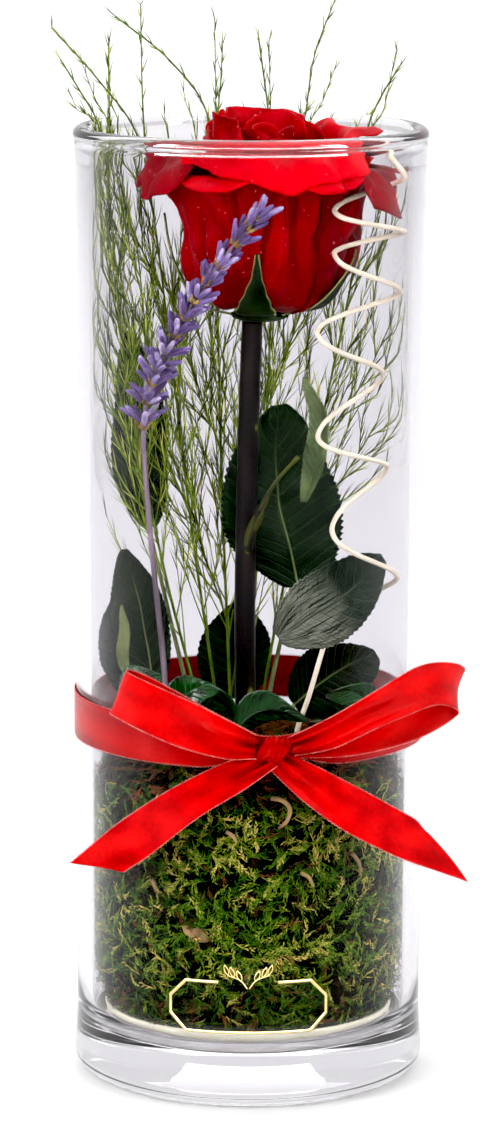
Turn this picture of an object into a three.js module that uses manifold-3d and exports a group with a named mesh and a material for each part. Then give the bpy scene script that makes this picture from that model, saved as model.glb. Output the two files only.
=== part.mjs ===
// Preserved rose in a tall glass cylinder vase, tied with a red satin bow.
// Millimetres, +Z up. The origin is the centre of the vase's flat underside,
// and the side with the bow and the label faces -Y.

import * as THREE from 'three';
import { mergeVertices } from 'three/addons/utils/BufferGeometryUtils.js';
import Module from 'manifold-3d';

const wasm = await Module();
wasm.setup();

// Driving dimensions

const GAP = 0.3;                 // clearance left where two pieces touch

const VASE_HEIGHT = 300;
const VASE_BORE_RADIUS = 50;     // the inside is 100 mm across
const VASE_OUTER_RADIUS = 54.6;
const VASE_FOOT_RADIUS = 55.3;   // the heel is a little fuller than the wall
const VASE_LIP_RADIUS = 55.3;
const VASE_FLOOR = 15.5;         // thickness of the solid glass bottom
const VASE_HEEL = 6;             // outer rounding at the foot
const VASE_FLOOR_FILLET = 9;     // inner rounding between wall and floor
const VASE_SIDES = 32;

const PAD_RADIUS = 46;
const PAD_RIM = 22.4;            // the pad is a shallow dish with a raised rim
const MOSS_RADIUS = 49.3;
const MOSS_BOTTOM = 18;
const MOSS_SHOULDER = 101;       // height of the moss against the glass
const MOSS_TOP = 110;            // height of the moss in the middle
const SOCKET_DEPTH = 6;          // how far the small stalks are pushed in
const STALK_SOCKET = 1.6;

const STEM_RADIUS = 3.4;
const STEM_FOOT = 62;            // the rose stem is held deep in the moss
const STEM_SOCKET = 4.4;
const CALYX_BASE = 239.6;
const CALYX_RADIUS = 10.6;
const HEAD_OFFSET = 3;           // the bloom sits a little to the right of its stem

const PETAL_THICKNESS = 0.7;
const SEPAL_LAYER = 1.12;        // the sepals lie just outside the outermost petals
const SEPAL_THICKNESS = 0.8;
const LEAF_THICKNESS = 0.6;
const STALK_RADIUS = 0.8;        // leaf stalks
const TWIG_RADIUS = 0.45;        // fern twigs
const LAVENDER_STALK_RADIUS = 0.85;
const CURL_RADIUS = 0.85;

const RIBBON_WIDTH = 13.6;
const RIBBON_THICKNESS = 0.5;
const RIBBON_HEIGHT = 115.5;     // middle of the band round the glass
const KNOT = new THREE.Vector3(7.5, -59.8, 115.6);
const KNOT_SIZE = new THREE.Vector3(4.6, 3.4, 4.4);

const LABEL_WIDTH = 52;          // measured round the glass
const LABEL_BOTTOM = 23.8;
const LABEL_HEIGHT = 18.2;
const LABEL_CORNER = 5.6;
const LABEL_CREST_WIDTH = 20;
const LABEL_CREST_HEIGHT = 7;
const LABEL_THICKNESS = 0.4;

const model = new THREE.Group();

// Small helpers

const vec = (x, y, z) => new THREE.Vector3(x, y, z);
const mix = (a, b, t) => a + (b - a) * t;
const rad = THREE.MathUtils.degToRad;

function smooth(low, high, value) {
  return THREE.MathUtils.smoothstep(value, low, high);
}

function finish(color, roughness, metalness = 0) {
  return new THREE.MeshStandardMaterial({ color, roughness, metalness });
}

function add(name, geometry, material) {
  const mesh = new THREE.Mesh(geometry, material);
  mesh.name = name;
  model.add(mesh);
}

// Keeps only positions, with shared corners merged, as a closed mesh needs.
function bare(geometry) {
  const copy = geometry.clone();
  copy.deleteAttribute('normal');
  copy.deleteAttribute('uv');
  return mergeVertices(copy, 1e-4);
}

function toSolid(geometry) {
  const clean = bare(geometry);
  const mesh = new wasm.Mesh({
    numProp: 3,
    vertProperties: new Float32Array(clean.attributes.position.array),
    triVerts: new Uint32Array(clean.index.array),
  });
  return new wasm.Manifold(mesh);
}

function toGeometry(solid) {
  const mesh = solid.getMesh();
  const geometry = new THREE.BufferGeometry();
  geometry.setAttribute('position', new THREE.BufferAttribute(mesh.vertProperties, 3));
  geometry.setIndex(new THREE.BufferAttribute(mesh.triVerts, 1));
  return geometry;
}

function join(geometries) {
  const solids = geometries.map(toSolid);
  return toGeometry(solids.reduce((whole, piece) => whole.add(piece)));
}

function cut(geometry, tools) {
  const whole = tools.map(toSolid).reduce((all, tool) => all.add(tool));
  return toGeometry(toSolid(geometry).subtract(whole));
}

function volume(points, faces) {
  let sum = 0;
  for (let k = 0; k < faces.length; k += 3) {
    const [a, b, c] = [points[faces[k]], points[faces[k + 1]], points[faces[k + 2]]];
    sum += a.dot(b.clone().cross(c));
  }
  return sum / 6;
}

function meshFrom(points, faces) {
  if (volume(points, faces) < 0) {
    faces.reverse();
  }
  const geometry = new THREE.BufferGeometry().setFromPoints(points);
  geometry.setIndex(faces);
  return geometry;
}

// A thin sheet with thickness: rows of points become two skins joined at the rim.
function sheet(rows, thickness) {
  const depth = typeof thickness === 'function' ? thickness : () => thickness;
  const tall = rows.length;
  const wide = rows[0].length;
  const points = [];
  for (const side of [0.5, -0.5]) {
    for (let i = 0; i < tall; i++) {
      for (let j = 0; j < wide; j++) {
        const along = rows[Math.min(i + 1, tall - 1)][j].clone().sub(rows[Math.max(i - 1, 0)][j]);
        const across = rows[i][Math.min(j + 1, wide - 1)].clone().sub(rows[i][Math.max(j - 1, 0)]);
        const normal = across.cross(along).normalize();
        points.push(rows[i][j].clone().addScaledVector(normal, side * depth(i / (tall - 1))));
      }
    }
  }
  return meshFrom(points, sheetFaces(tall, wide));
}

function sheetFaces(tall, wide) {
  const faces = [];
  const back = tall * wide;
  const at = (i, j) => i * wide + j;
  const quad = (a, b, c, d) => faces.push(a, b, c, a, c, d);
  for (let i = 0; i < tall - 1; i++) {
    for (let j = 0; j < wide - 1; j++) {
      quad(at(i, j), at(i, j + 1), at(i + 1, j + 1), at(i + 1, j));
      quad(back + at(i, j), back + at(i + 1, j), back + at(i + 1, j + 1), back + at(i, j + 1));
    }
  }
  const rim = [];
  for (let j = 0; j < wide - 1; j++) {
    rim.push(at(0, j));
  }
  for (let i = 0; i < tall - 1; i++) {
    rim.push(at(i, wide - 1));
  }
  for (let j = wide - 1; j > 0; j--) {
    rim.push(at(tall - 1, j));
  }
  for (let i = tall - 1; i > 0; i--) {
    rim.push(at(i, 0));
  }
  rim.forEach((a, k) => {
    const b = rim[(k + 1) % rim.length];
    quad(b, a, back + a, back + b);
  });
  return faces;
}

// A round rod of constant thickness along a smooth curve.
function rod(points, radius, sides, steps) {
  const outline = new THREE.Shape();
  for (let k = 0; k < sides; k++) {
    const angle = (2 * Math.PI * k) / sides;
    const corner = [radius * Math.cos(angle), radius * Math.sin(angle)];
    if (k === 0) {
      outline.moveTo(...corner);
    } else {
      outline.lineTo(...corner);
    }
  }
  const path = new THREE.CatmullRomCurve3(points, false, 'centripetal');
  return bare(new THREE.ExtrudeGeometry(outline, { steps, bevelEnabled: false, extrudePath: path }));
}

function turned(profile, segments) {
  const lathe = new THREE.LatheGeometry(profile.map(([r, z]) => new THREE.Vector2(r, z)), segments);
  lathe.rotateX(Math.PI / 2);
  return bare(lathe);
}

// Points of a quarter circle in a turned profile, from one angle to another.
function arc(centre, radius, from, to, steps) {
  const list = [];
  for (let k = 0; k <= steps; k++) {
    const angle = rad(mix(from, to, k / steps));
    list.push([centre[0] + radius * Math.cos(angle), centre[1] + radius * Math.sin(angle)]);
  }
  return list;
}

// Glass vase: thick solid bottom, straight wall and a fire-polished lip

function glassVase() {
  const lip = (VASE_LIP_RADIUS - VASE_BORE_RADIUS) / 2;
  const lipCentre = [VASE_BORE_RADIUS + lip, VASE_HEIGHT - lip];
  const heelCentre = [VASE_FOOT_RADIUS - VASE_HEEL, VASE_HEEL];
  const filletCentre = [VASE_BORE_RADIUS - VASE_FLOOR_FILLET, VASE_FLOOR + VASE_FLOOR_FILLET];
  const profile = [
    [0, 0],
    ...arc(heelCentre, VASE_HEEL, -90, 0, 2),
    [VASE_OUTER_RADIUS, 22],
    [VASE_OUTER_RADIUS, VASE_HEIGHT - 12],
    ...arc(lipCentre, lip, 0, 180, 4),
    ...arc(filletCentre, VASE_FLOOR_FILLET, 0, -90, 2),
    [0, VASE_FLOOR],
  ];
  return turned(profile, VASE_SIDES);
}

// Clear foil label on the front of the glass: cut corners and a small crest

function label() {
  const half = LABEL_WIDTH / 2;
  const crest = LABEL_CREST_WIDTH / 2;
  const radius = VASE_OUTER_RADIUS + GAP + LABEL_THICKNESS / 2;
  const stations = [-1, -0.89, -0.78, -0.58, -0.39];
  const places = stations.map((share) => share * half);
  for (let k = -3; k <= 3; k++) {
    places.push((k / 4) * crest);
  }
  places.push(...stations.map((share) => -share * half).reverse());
  const rows = places.map((arcPlace) => {
    const fromEnd = half - Math.abs(arcPlace);
    const cutCorner = Math.max(0, LABEL_CORNER - fromEnd);
    const rise = Math.max(0, 1 - (arcPlace / crest) ** 2) * LABEL_CREST_HEIGHT;
    const angle = arcPlace / radius;
    const low = LABEL_BOTTOM + cutCorner;
    const high = LABEL_BOTTOM + LABEL_HEIGHT - cutCorner + rise;
    return [low, high].map((z) => vec(radius * Math.sin(angle), -radius * Math.cos(angle), z));
  });
  return sheet(rows, LABEL_THICKNESS);
}

// Moss with sockets for every stalk, on its pale pad

function mossCushion(sockets) {
  const profile = [
    [0, MOSS_BOTTOM],
    [33, MOSS_BOTTOM],
    [38.5, MOSS_BOTTOM + 1.2],
    [42, MOSS_BOTTOM + 3.6],
    [44.8, MOSS_BOTTOM + 7],
    [47, MOSS_BOTTOM + 12.5],
    [48.5, MOSS_BOTTOM + 19],
    [MOSS_RADIUS, MOSS_BOTTOM + 32],
    [MOSS_RADIUS, MOSS_SHOULDER - 6],
    [MOSS_RADIUS - 3, MOSS_SHOULDER],
    [30, MOSS_TOP - 3],
    [0, MOSS_TOP],
  ];
  return cut(turned(profile, 20), sockets);
}

function basePad() {
  const bottom = VASE_FLOOR + GAP;
  const top = MOSS_BOTTOM - GAP;
  const profile = [
    [0, bottom],
    [PAD_RADIUS - 6, bottom],
    [PAD_RADIUS - 2, bottom + 1.6],
    [PAD_RADIUS - 0.4, bottom + 3.7],
    [PAD_RADIUS, PAD_RIM],
    [PAD_RADIUS - 1.2, PAD_RIM],
    [PAD_RADIUS - 5, top + 1.9],
    [33, top],
    [0, top],
  ];
  return turned(profile, 20);
}

// A stalk goes straight down into the moss, from just above it.
function planted(x, y) {
  return [vec(x, y, MOSS_TOP - SOCKET_DEPTH), vec(x, y, MOSS_TOP + 0.6)];
}

// The socket that a foot stands in: wide enough for its corners, open at the top.
function socket(foot, radius) {
  const top = MOSS_TOP + 5;
  const depth = top - foot.z + 1;
  const bore = new THREE.CylinderGeometry(radius, radius, depth, 6);
  bore.rotateX(Math.PI / 2);
  bore.translate(foot.x, foot.y, top - depth / 2);
  return bore;
}

// Rose bloom: every petal lies on one of a family of nested bowls that spread like a
// fountain. layer is 0 at the heart and 1 outside, and reach runs from the base of a
// petal, 0, over its upright part to the edge at 1, rolled back and down beyond that.

const BOWLS = [
  { layer: 0.0, curve: [[0.8, 253], [1.6, 262], [2.4, 275], [2.2, 290], [1.8, 302.5], [1.6, 304], [1.6, 304.5]] },
  { layer: 0.35, curve: [[3.6, 249.5], [7.8, 256.5], [10.6, 270], [11.2, 287], [12.8, 303], [15, 307], [18, 308]] },
  { layer: 0.54, curve: [[5, 247.6], [11.4, 253.4], [16, 267], [17.6, 285], [20.4, 303], [24, 306.5], [28, 307]] },
  { layer: 0.7, curve: [[6.2, 246], [14.5, 251], [20.5, 264.5], [23, 281], [28, 295], [34, 298], [39, 296]] },
  { layer: 1.0, curve: [[8.6, 242.4], [19, 246.5], [27, 259], [29.5, 275], [35.5, 287], [41.6, 283.5], [43, 276]] },
  { layer: 1.2, curve: [[9.6, 241], [21, 244.6], [30, 257], [33, 272], [38, 281], [44, 278], [46, 269]] },
];
const REACH_STEP = 0.25;

function onCurve(curve, reach) {
  const points = curve.map(([r, z]) => new THREE.Vector2(r, z));
  const spline = new THREE.SplineCurve(points);
  return spline.getPoint(THREE.MathUtils.clamp(reach / REACH_STEP / (points.length - 1), 0, 1));
}

function bloomPoint(layer, reach, azimuth) {
  const above = Math.max(1, BOWLS.findIndex((bowl) => bowl.layer >= Math.min(layer, 1.2)));
  const [low, high] = [BOWLS[above - 1], BOWLS[above]];
  const share = (layer - low.layer) / (high.layer - low.layer);
  const place = onCurve(low.curve, reach).lerp(onCurve(high.curve, reach), share);
  const lean = mix(HEAD_OFFSET, 5, smooth(CALYX_BASE, CALYX_BASE + 24, place.y));
  return vec(place.x * Math.cos(azimuth) + lean, place.x * Math.sin(azimuth), place.y);
}

// Petals from the outside in: layer, the way it faces, half its spread and its reach.
const PETALS = [
  { layer: 0.9, facing: 200, spread: 34, reach: 1.45 },
  { layer: 1.02, facing: -120, spread: 42, reach: 1.24 },
  { layer: 0.93, facing: -47, spread: 38, reach: 1.3 },
  { layer: 1.0, facing: -12, spread: 34, reach: 1.5 },
  { layer: 0.93, facing: 64, spread: 40, reach: 1.25 },
  { layer: 1.0, facing: 126, spread: 38, reach: 1.2 },
  { layer: 0.79, facing: -154, spread: 40, reach: 1.2 },
  { layer: 0.86, facing: -86, spread: 44, reach: 1.3 },
  { layer: 0.79, facing: -24, spread: 38, reach: 1.2 },
  { layer: 0.86, facing: 40, spread: 40, reach: 1.2 },
  { layer: 0.79, facing: 104, spread: 40, reach: 1.12 },
  { layer: 0.72, facing: -126, spread: 42, reach: 1.0 },
  { layer: 0.65, facing: -54, spread: 42, reach: 1.0 },
  { layer: 0.72, facing: 12, spread: 42, reach: 1.25 },
  { layer: 0.65, facing: 88, spread: 42, reach: 1.0 },
  { layer: 0.84, facing: 160, spread: 38, reach: 1.15 },
  { layer: 0.58, facing: -100, spread: 55, reach: 0.96 },
  { layer: 0.5, facing: -8, spread: 55, reach: 1.04 },
  { layer: 0.58, facing: 78, spread: 58, reach: 1.1 },
  { layer: 0.5, facing: 178, spread: 62, reach: 1.15 },
  { layer: 0.42, facing: -70, spread: 75, reach: 0.95 },
  { layer: 0.35, facing: 70, spread: 80, reach: 1.0 },
  { layer: 0.27, facing: -150, spread: 90, reach: 0.98 },
  { layer: 0.19, facing: -20, spread: 100, reach: 0.97 },
  { layer: 0.1, facing: 130, spread: 130, reach: 0.95 },
];
const PETAL_STATIONS = [0.13, 0.32, 0.55, 0.78, 1.0, 1.22];   // shared rows, so that neighbours nest

function petal({ layer, facing, spread, reach }) {
  const wide = spread > 70 ? 6 : 5;
  const stations = PETAL_STATIONS.filter((station) => station < reach - 0.04);
  const rows = [];
  for (let i = 0; i <= stations.length; i++) {
    const fan = mix(0.72, 1, smooth(0, 3, i));
    const row = [];
    for (let j = 0; j <= wide; j++) {
      const side = (2 * j) / wide - 1;
      const edge = reach * (1 - 0.14 * side ** 2);
      row.push(bloomPoint(layer, Math.min(stations[i] ?? edge, edge - 0.02), rad(facing + spread * fan * side)));
    }
    rows.push(row);
  }
  return sheet(rows, PETAL_THICKNESS);
}

// Calyx: the green cup under the bloom with five sepals grown from it

const SEPALS = [
  { facing: -94, reach: 0.55, spread: 17 },
  { facing: 184, reach: 0.72, spread: 9 },
  { facing: -34, reach: 0.5, spread: 14 },
  { facing: 36, reach: 0.5, spread: 14 },
  { facing: 108, reach: 0.5, spread: 14 },
];

function sepal({ facing, reach, spread }) {
  const rows = [];
  for (let i = 0; i <= 4; i++) {
    const up = i / 4;
    const half = spread * (1 - up * 0.94) * (0.6 + 0.8 * Math.sin(Math.PI * Math.min(1, up + 0.2)));
    rows.push([-1, 0, 1].map((side) => bloomPoint(SEPAL_LAYER, reach * up, rad(facing + half * side))));
  }
  return sheet(rows, SEPAL_THICKNESS);
}

function calyx() {
  const seat = BOWLS.filter(({ layer }) => layer <= 1).reverse().map(({ curve }) => curve[0]);
  const profile = [
    [0, CALYX_BASE],
    [CALYX_RADIUS / 2, CALYX_BASE],
    [CALYX_RADIUS, CALYX_BASE + 1],
    [CALYX_RADIUS, CALYX_BASE + 2],
    ...seat.map(([r, z]) => [r, z - 0.4]),
    [0, 253.4],
  ];
  const cup = turned(profile, 10);
  cup.translate(HEAD_OFFSET, 0, 0);
  return join([cup, ...SEPALS.map(sepal)]);
}

// Rose stem with the short side shoot that carries a folded leaf

const STEM_LINE = [vec(-1.2, 0, STEM_FOOT), vec(-1.2, 0, 121), vec(-1.4, 0, 150), vec(-0.6, 0, 200),
  vec(0.6, 0, CALYX_BASE - GAP)];

function roseStem() {
  const main = rod(STEM_LINE, STEM_RADIUS, 8, 5);
  const shoot = rod([vec(-1.2, 0, 172), vec(2.6, -4.4, 180), vec(8.6, -5.6, 190), vec(15, -7, 197.4)], 0.9, 5, 5);
  const collar = rod([vec(-1.4, -0.5, 164), vec(0.2, -3.4, 171), vec(2.6, -4.4, 180)], 1.7, 5, 3);
  return join([main, shoot, collar]);
}

// Leaves: a toothed blade along a curved midrib, on a stalk where it has one.
// across points from the midrib to the right edge, and fold closes the blade like a book.

function leaf({ stalk = [], rib, width, across, fold = 0.15, teeth = 5 }) {
  const blade = new THREE.CatmullRomCurve3(rib, false, 'centripetal');
  const count = teeth * 2;
  const rows = stalk.map((point) => leafRow(point, STALK_RADIUS, across, 0, rib));
  for (let i = 0; i <= count; i++) {
    const t = i / count;
    const round = Math.sin(Math.PI * mix(0.04, 0.985, t ** 0.9)) ** 0.7;
    const tooth = i % 2 ? 1 : 0.92;
    rows.push(leafRow(blade.getPoint(t), Math.max(STALK_RADIUS, (width / 2) * round * tooth), across, fold, rib));
  }
  const stalkShare = stalk.length / (rows.length - 1);
  const bladeDepth = stalk.length ? LEAF_THICKNESS : LEAF_THICKNESS + 0.2;
  return sheet(rows, (t) => (t < stalkShare ? 1.5 * STALK_RADIUS : bladeDepth));
}

function leafRow(point, half, across, fold, rib) {
  const side = across.clone().normalize();
  const face = side.clone().cross(rib[rib.length - 1].clone().sub(rib[0])).normalize();
  return [-1, 0, 1].map((k) => point.clone()
    .addScaledVector(side, k * half)
    .addScaledVector(face, Math.abs(k) * half * fold));
}

const LEAVES = {
  leaf_behind_stem: {
    stalk: [...planted(5, 8), vec(7.5, 7, 124), vec(11, 6.5, 140)],
    rib: [vec(16, 7.5, 154), vec(11, 9, 170), vec(8.5, 11, 190), vec(9, 13, 211)],
    width: 40, across: vec(1, 0.1, 0.05), teeth: 5,
  },
  leaf_right: {
    rib: [vec(9.5, -9, 140), vec(19, -8.5, 147), vec(31, -10, 156), vec(41, -13, 166)],
    width: 25, across: vec(0.55, 0.1, -0.85), fold: 0.12, teeth: 5,
  },
  leaf_tall_left: {
    stalk: [...planted(-19, 24), vec(-26, 26, 140)],
    rib: [vec(-32.5, 25, 170), vec(-35.5, 21.5, 190), vec(-36, 20.5, 210), vec(-39.5, 19, 234)],
    width: 22, across: vec(0.9, 0.42, 0), fold: -0.08, teeth: 5,
  },
  leaf_low_left: {
    stalk: planted(-29, -6),
    rib: [vec(-30.5, -6, 121), vec(-32, -7, 138), vec(-35.5, -8, 155), vec(-39, -8, 167.5)],
    width: 19, across: vec(0.95, -0.25, 0.2), fold: 0.2, teeth: 5,
  },
  leaf_far_left: {
    stalk: planted(-36, 7),
    rib: [vec(-37.5, 8, 116), vec(-39, 8, 128), vec(-40, 8, 140), vec(-40, 7, 152)],
    width: 25, across: vec(0.6, 0.8, 0), fold: -0.12, teeth: 5,
  },
  leaf_back_low: {
    stalk: planted(-6, 28),
    rib: [vec(-6, 28, 113), vec(-5, 28, 122), vec(-4, 29, 134), vec(-4, 30, 144)],
    width: 25, across: vec(1, 0, 0), fold: 0.15, teeth: 5,
  },
  leaf_right_low: {
    stalk: planted(14, 12),
    rib: [vec(14.5, 12, 115), vec(22, 11, 121), vec(31, 10, 127), vec(41, 9, 131)],
    width: 29, across: vec(0.45, 0.35, -0.8), fold: 0.15, teeth: 5,
  },
  leaf_shoot: {
    rib: [vec(16.4, -9.6, 184), vec(21, -10.4, 197), vec(22.5, -10, 210), vec(17, -9.4, 223)],
    width: 8.5, across: vec(0.8, -0.5, 0.1), fold: 0.5, teeth: 5,
  },
  small_leaf_left: {
    rib: [vec(-37, -20, 109), vec(-36.5, -18, 120), vec(-33, -18.5, 128.5), vec(-25.5, -20, 129.5)],
    width: 13, across: vec(0.5, -0.5, -0.7), fold: 0.25, teeth: 4,
  },
  small_leaf_mid_left: {
    rib: [vec(-21, -22, 110.5), vec(-22, -22, 120), vec(-17.5, -22.5, 126.5), vec(-10, -23, 126)],
    width: 12, across: vec(0.6, -0.4, -0.7), fold: 0.25, teeth: 4,
  },
  small_leaf_front: {
    rib: [vec(-6, -30, 110), vec(-1, -30, 119), vec(8, -31, 123), vec(18, -31, 119)],
    width: 13, across: vec(-0.2, -0.5, 0.85), fold: 0.2, teeth: 5,
  },
  small_leaf_right: {
    rib: [vec(38, -17, 109), vec(38, -17, 118), vec(33, -18, 124.5), vec(25, -19, 124)],
    width: 12, across: vec(0.5, -0.4, 0.75), fold: 0.2, teeth: 4,
  },
  small_leaf_back: {
    rib: [vec(-3, -15, 111), vec(-6, -14.5, 118), vec(-12, -15, 122), vec(-19, -16.5, 120.5)],
    width: 13, across: vec(0.2, -0.5, 0.85), fold: 0.2, teeth: 4,
  },
};

// Fern: each spray is a stalk with its main side twigs

const FERNS = {
  fern_left_outer: {
    stalk: [...planted(-15, 2), vec(-27, 8, 158), vec(-38, 11, 210), vec(-42.5, 10, 250), vec(-46, 7, 290),
      vec(-48, 5.5, 301), vec(-53, 4, 310), vec(-59, 2, 320)],
    twigs: [
      [vec(-29, 8.5, 168), vec(-40, 3, 205), vec(-44, -1, 228)],
      [vec(-35, 10.4, 196), vec(-33, 2, 235), vec(-35, -2, 262)],
      [vec(-40, 11, 226), vec(-46, 4, 262), vec(-47.5, 2, 281)],
      [vec(-42.5, 10, 250), vec(-40, 5, 268), vec(-39.5, 4, 281)],
    ],
  },
  fern_left_inner: {
    stalk: [...planted(-10, 12), vec(-18, 20, 165), vec(-25, 27, 220), vec(-31, 25, 268), vec(-36, 18, 296),
      vec(-48, 15, 313), vec(-62, 12, 329)],
    twigs: [
      [vec(-19.5, 21.5, 175), vec(-31, 16, 205), vec(-37, 14.5, 236)],
      [vec(-24, 26, 211), vec(-20, 34, 238), vec(-17, 37, 255)],
      [vec(-28, 26.6, 245), vec(-40, 24, 270), vec(-43, 20, 286)],
      [vec(-32.6, 23, 281), vec(-34, 18.5, 308), vec(-34.5, 17, 336)],
    ],
  },
  fern_back_left: {
    stalk: [...planted(-6, 18), vec(-9, 32, 180), vec(-11, 41, 245), vec(-14, 43, 300), vec(-26, 41, 317),
      vec(-43, 38, 331)],
    twigs: [
      [vec(-7.4, 24.6, 140), vec(-19, 32, 172), vec(-27, 37, 196)],
      [vec(-9.4, 34, 193), vec(-20, 40, 222), vec(-26, 40.5, 243)],
      [vec(-13, 42.8, 285), vec(-10, 45.5, 305), vec(-9, 44, 322)],
    ],
  },
  fern_back_right: {
    stalk: [...planted(-1, 16), vec(4, 30, 180), vec(7, 41, 245), vec(6, 46, 295), vec(2.4, 44, 324)],
    twigs: [
      [vec(0.6, 22.4, 138), vec(-3, 34, 176), vec(-4, 40, 205)],
      [vec(5.4, 34.6, 206), vec(17, 40, 240), vec(20, 42, 262)],
      [vec(7, 43, 262), vec(17, 42.5, 298), vec(20, 40, 318), vec(27, 36, 338)],
    ],
  },
  fern_right: {
    stalk: [...planted(4, 20), vec(13, 24, 160), vec(26, 30, 215), vec(35, 29, 262), vec(37, 27, 297),
      vec(41, 25, 307), vec(46.8, 22, 317)],
    twigs: [
      [vec(13.5, 24.4, 163), vec(30, 21, 186), vec(41, 15, 205)],
      [vec(20.6, 27.6, 193), vec(36, 22, 216), vec(45, 14, 236)],
      [vec(27.6, 30, 223), vec(24, 36, 246), vec(22, 40, 260)],
      [vec(32, 29.6, 245), vec(43, 22, 262), vec(44.4, 20, 282)],
    ],
  },
};

// A twig grows from the stalk at the joint that is nearest to its first point.
function fern({ stalk, twigs }) {
  const steps = Math.round(stalk.length * 1.6);
  const joints = new THREE.CatmullRomCurve3(stalk, false, 'centripetal').getSpacedPoints(steps);
  const parts = [rod(stalk, TWIG_RADIUS + 0.15, 3, steps)];
  for (const [start, ...rest] of twigs) {
    const root = joints.reduce((best, p) => (p.distanceTo(start) < best.distanceTo(start) ? p : best));
    parts.push(rod([root, ...rest], TWIG_RADIUS, 3, rest.length * 2));
  }
  return join(parts);
}

// Lavender: a thin stalk with whorls of small upright buds

const LAVENDER_LINE = [...planted(-24.5, -27), vec(-26, -27, 136), vec(-28.6, -27, 162), vec(-31, -27, 190),
  vec(-31.8, -28, 208), vec(-30.5, -29, 220), vec(-24, -31.5, 236), vec(-15.5, -34, 251.5),
  vec(-5.5, -36.5, 266.5), vec(3.5, -38.5, 277.5)];
const WHORLS = 10;
const WHORL_BUDS = 3;
const FIRST_WHORL = 0.58;        // share of the stalk's length below the spike
const BUD_LENGTH = 9.4;
const BUD_RADIUS = 1.7;
const BUD_START = 0.5;           // buds begin inside the stalk

function lavender() {
  const line = new THREE.CatmullRomCurve3(LAVENDER_LINE, false, 'centripetal');
  const parts = [rod(LAVENDER_LINE, LAVENDER_STALK_RADIUS, 4, 16)];
  for (let k = 0; k < WHORLS; k++) {
    const up = k / (WHORLS - 1);
    const at = line.getPointAt(mix(FIRST_WHORL, 0.985, up));
    const axis = line.getTangentAt(mix(FIRST_WHORL, 0.985, up));
    const open = mix(1.05, 0.5, up);
    for (let n = 0; n < WHORL_BUDS; n++) {
      parts.push(bud(at, axis, open, (2 * Math.PI * (n + 0.4 * k)) / WHORL_BUDS));
    }
  }
  return join(parts);
}

function bud(at, axis, open, turn) {
  const shape = new THREE.OctahedronGeometry(1, 0);
  shape.scale(BUD_RADIUS, BUD_LENGTH / 2, BUD_RADIUS);
  shape.translate(0, BUD_LENGTH / 2 + BUD_START, 0);
  const side = vec(0, 1, 0).cross(axis).normalize().applyAxisAngle(axis, turn);
  const way = axis.clone().addScaledVector(side, open).normalize();
  shape.applyQuaternion(new THREE.Quaternion().setFromUnitVectors(vec(0, 1, 0), way));
  shape.translate(at.x, at.y, at.z);
  return shape;
}

// Curly stick: a stiff cream rod wound in one long curl at the front right.
// Each entry is where the curl turns back: its height and how far right it reaches.

const CURL_TURNS = [
  { z: 286, x: 45.4 }, { z: 276.5, x: 25 },
  { z: 269, x: 45.2 }, { z: 263.5, x: 25 },
  { z: 250.5, x: 44.4 }, { z: 239.5, x: 20 },
  { z: 225, x: 40 }, { z: 206.5, x: 20.5 },
  { z: 196, x: 41.5 }, { z: 177, x: 25 },
  { z: 160.5, x: 44.8 },
];
const CURL_DEPTH = 6.5;          // how far the front strands stand before the back ones
const CURL_STEPS = 5;            // steps in each half turn

// The curl leans along the glass, so it lies further back where it is further right.
function curlMiddle(x, z) {
  const back = mix(-20, -23, smooth(190, 262, z));
  return back + (x - 33) * 0.45;
}

function curlLine() {
  const line = [vec(37, -13.5, 296), vec(42, -15, 292)];
  for (let k = 0; k < CURL_TURNS.length - 1; k++) {
    const [from, to] = [CURL_TURNS[k], CURL_TURNS[k + 1]];
    const towardRight = to.x > from.x;
    for (let n = 0; n < CURL_STEPS; n++) {
      const angle = (Math.PI * n) / CURL_STEPS;
      const x = mix(from.x, to.x, (1 - Math.cos(angle)) / 2);
      const z = mix(from.z, to.z, n / CURL_STEPS);
      const bulge = CURL_DEPTH * Math.sin(angle) * (towardRight ? -1 : 1);
      line.push(vec(x, curlMiddle(x, z) + bulge, z));
    }
  }
  const last = CURL_TURNS[CURL_TURNS.length - 1];
  line.push(vec(last.x, curlMiddle(last.x, last.z), last.z), vec(42.5, -9, 157), vec(36, -4.5, 153));
  line.push(vec(28, -4.5, 148), vec(25, -5.5, 142), vec(18.5, -9, 121), ...planted(15, -10).reverse());
  return line;
}

function curlyStick(radius) {
  const line = curlLine();
  return rod(line, radius, 4, line.length + 4);
}

// Satin ribbon: each strip follows a line of middles with its own half width and slant

function strip(stations) {
  const middle = new THREE.CatmullRomCurve3(stations.map(({ at }) => at), false, 'centripetal');
  const slant = new THREE.CatmullRomCurve3(stations.map(({ side }) => side), false, 'centripetal');
  const rows = [];
  const steps = (stations.length - 1) * 2;
  for (let i = 0; i <= steps; i++) {
    const [centre, across] = [middle.getPoint(i / steps), slant.getPoint(i / steps)];
    rows.push([-1, 1].map((k) => centre.clone().addScaledVector(across, k)));
  }
  return sheet(rows, RIBBON_THICKNESS);
}

const HALF = RIBBON_WIDTH / 2;
const side = (x, y, z, half = HALF) => vec(x, y, z).normalize().multiplyScalar(half);

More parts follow.
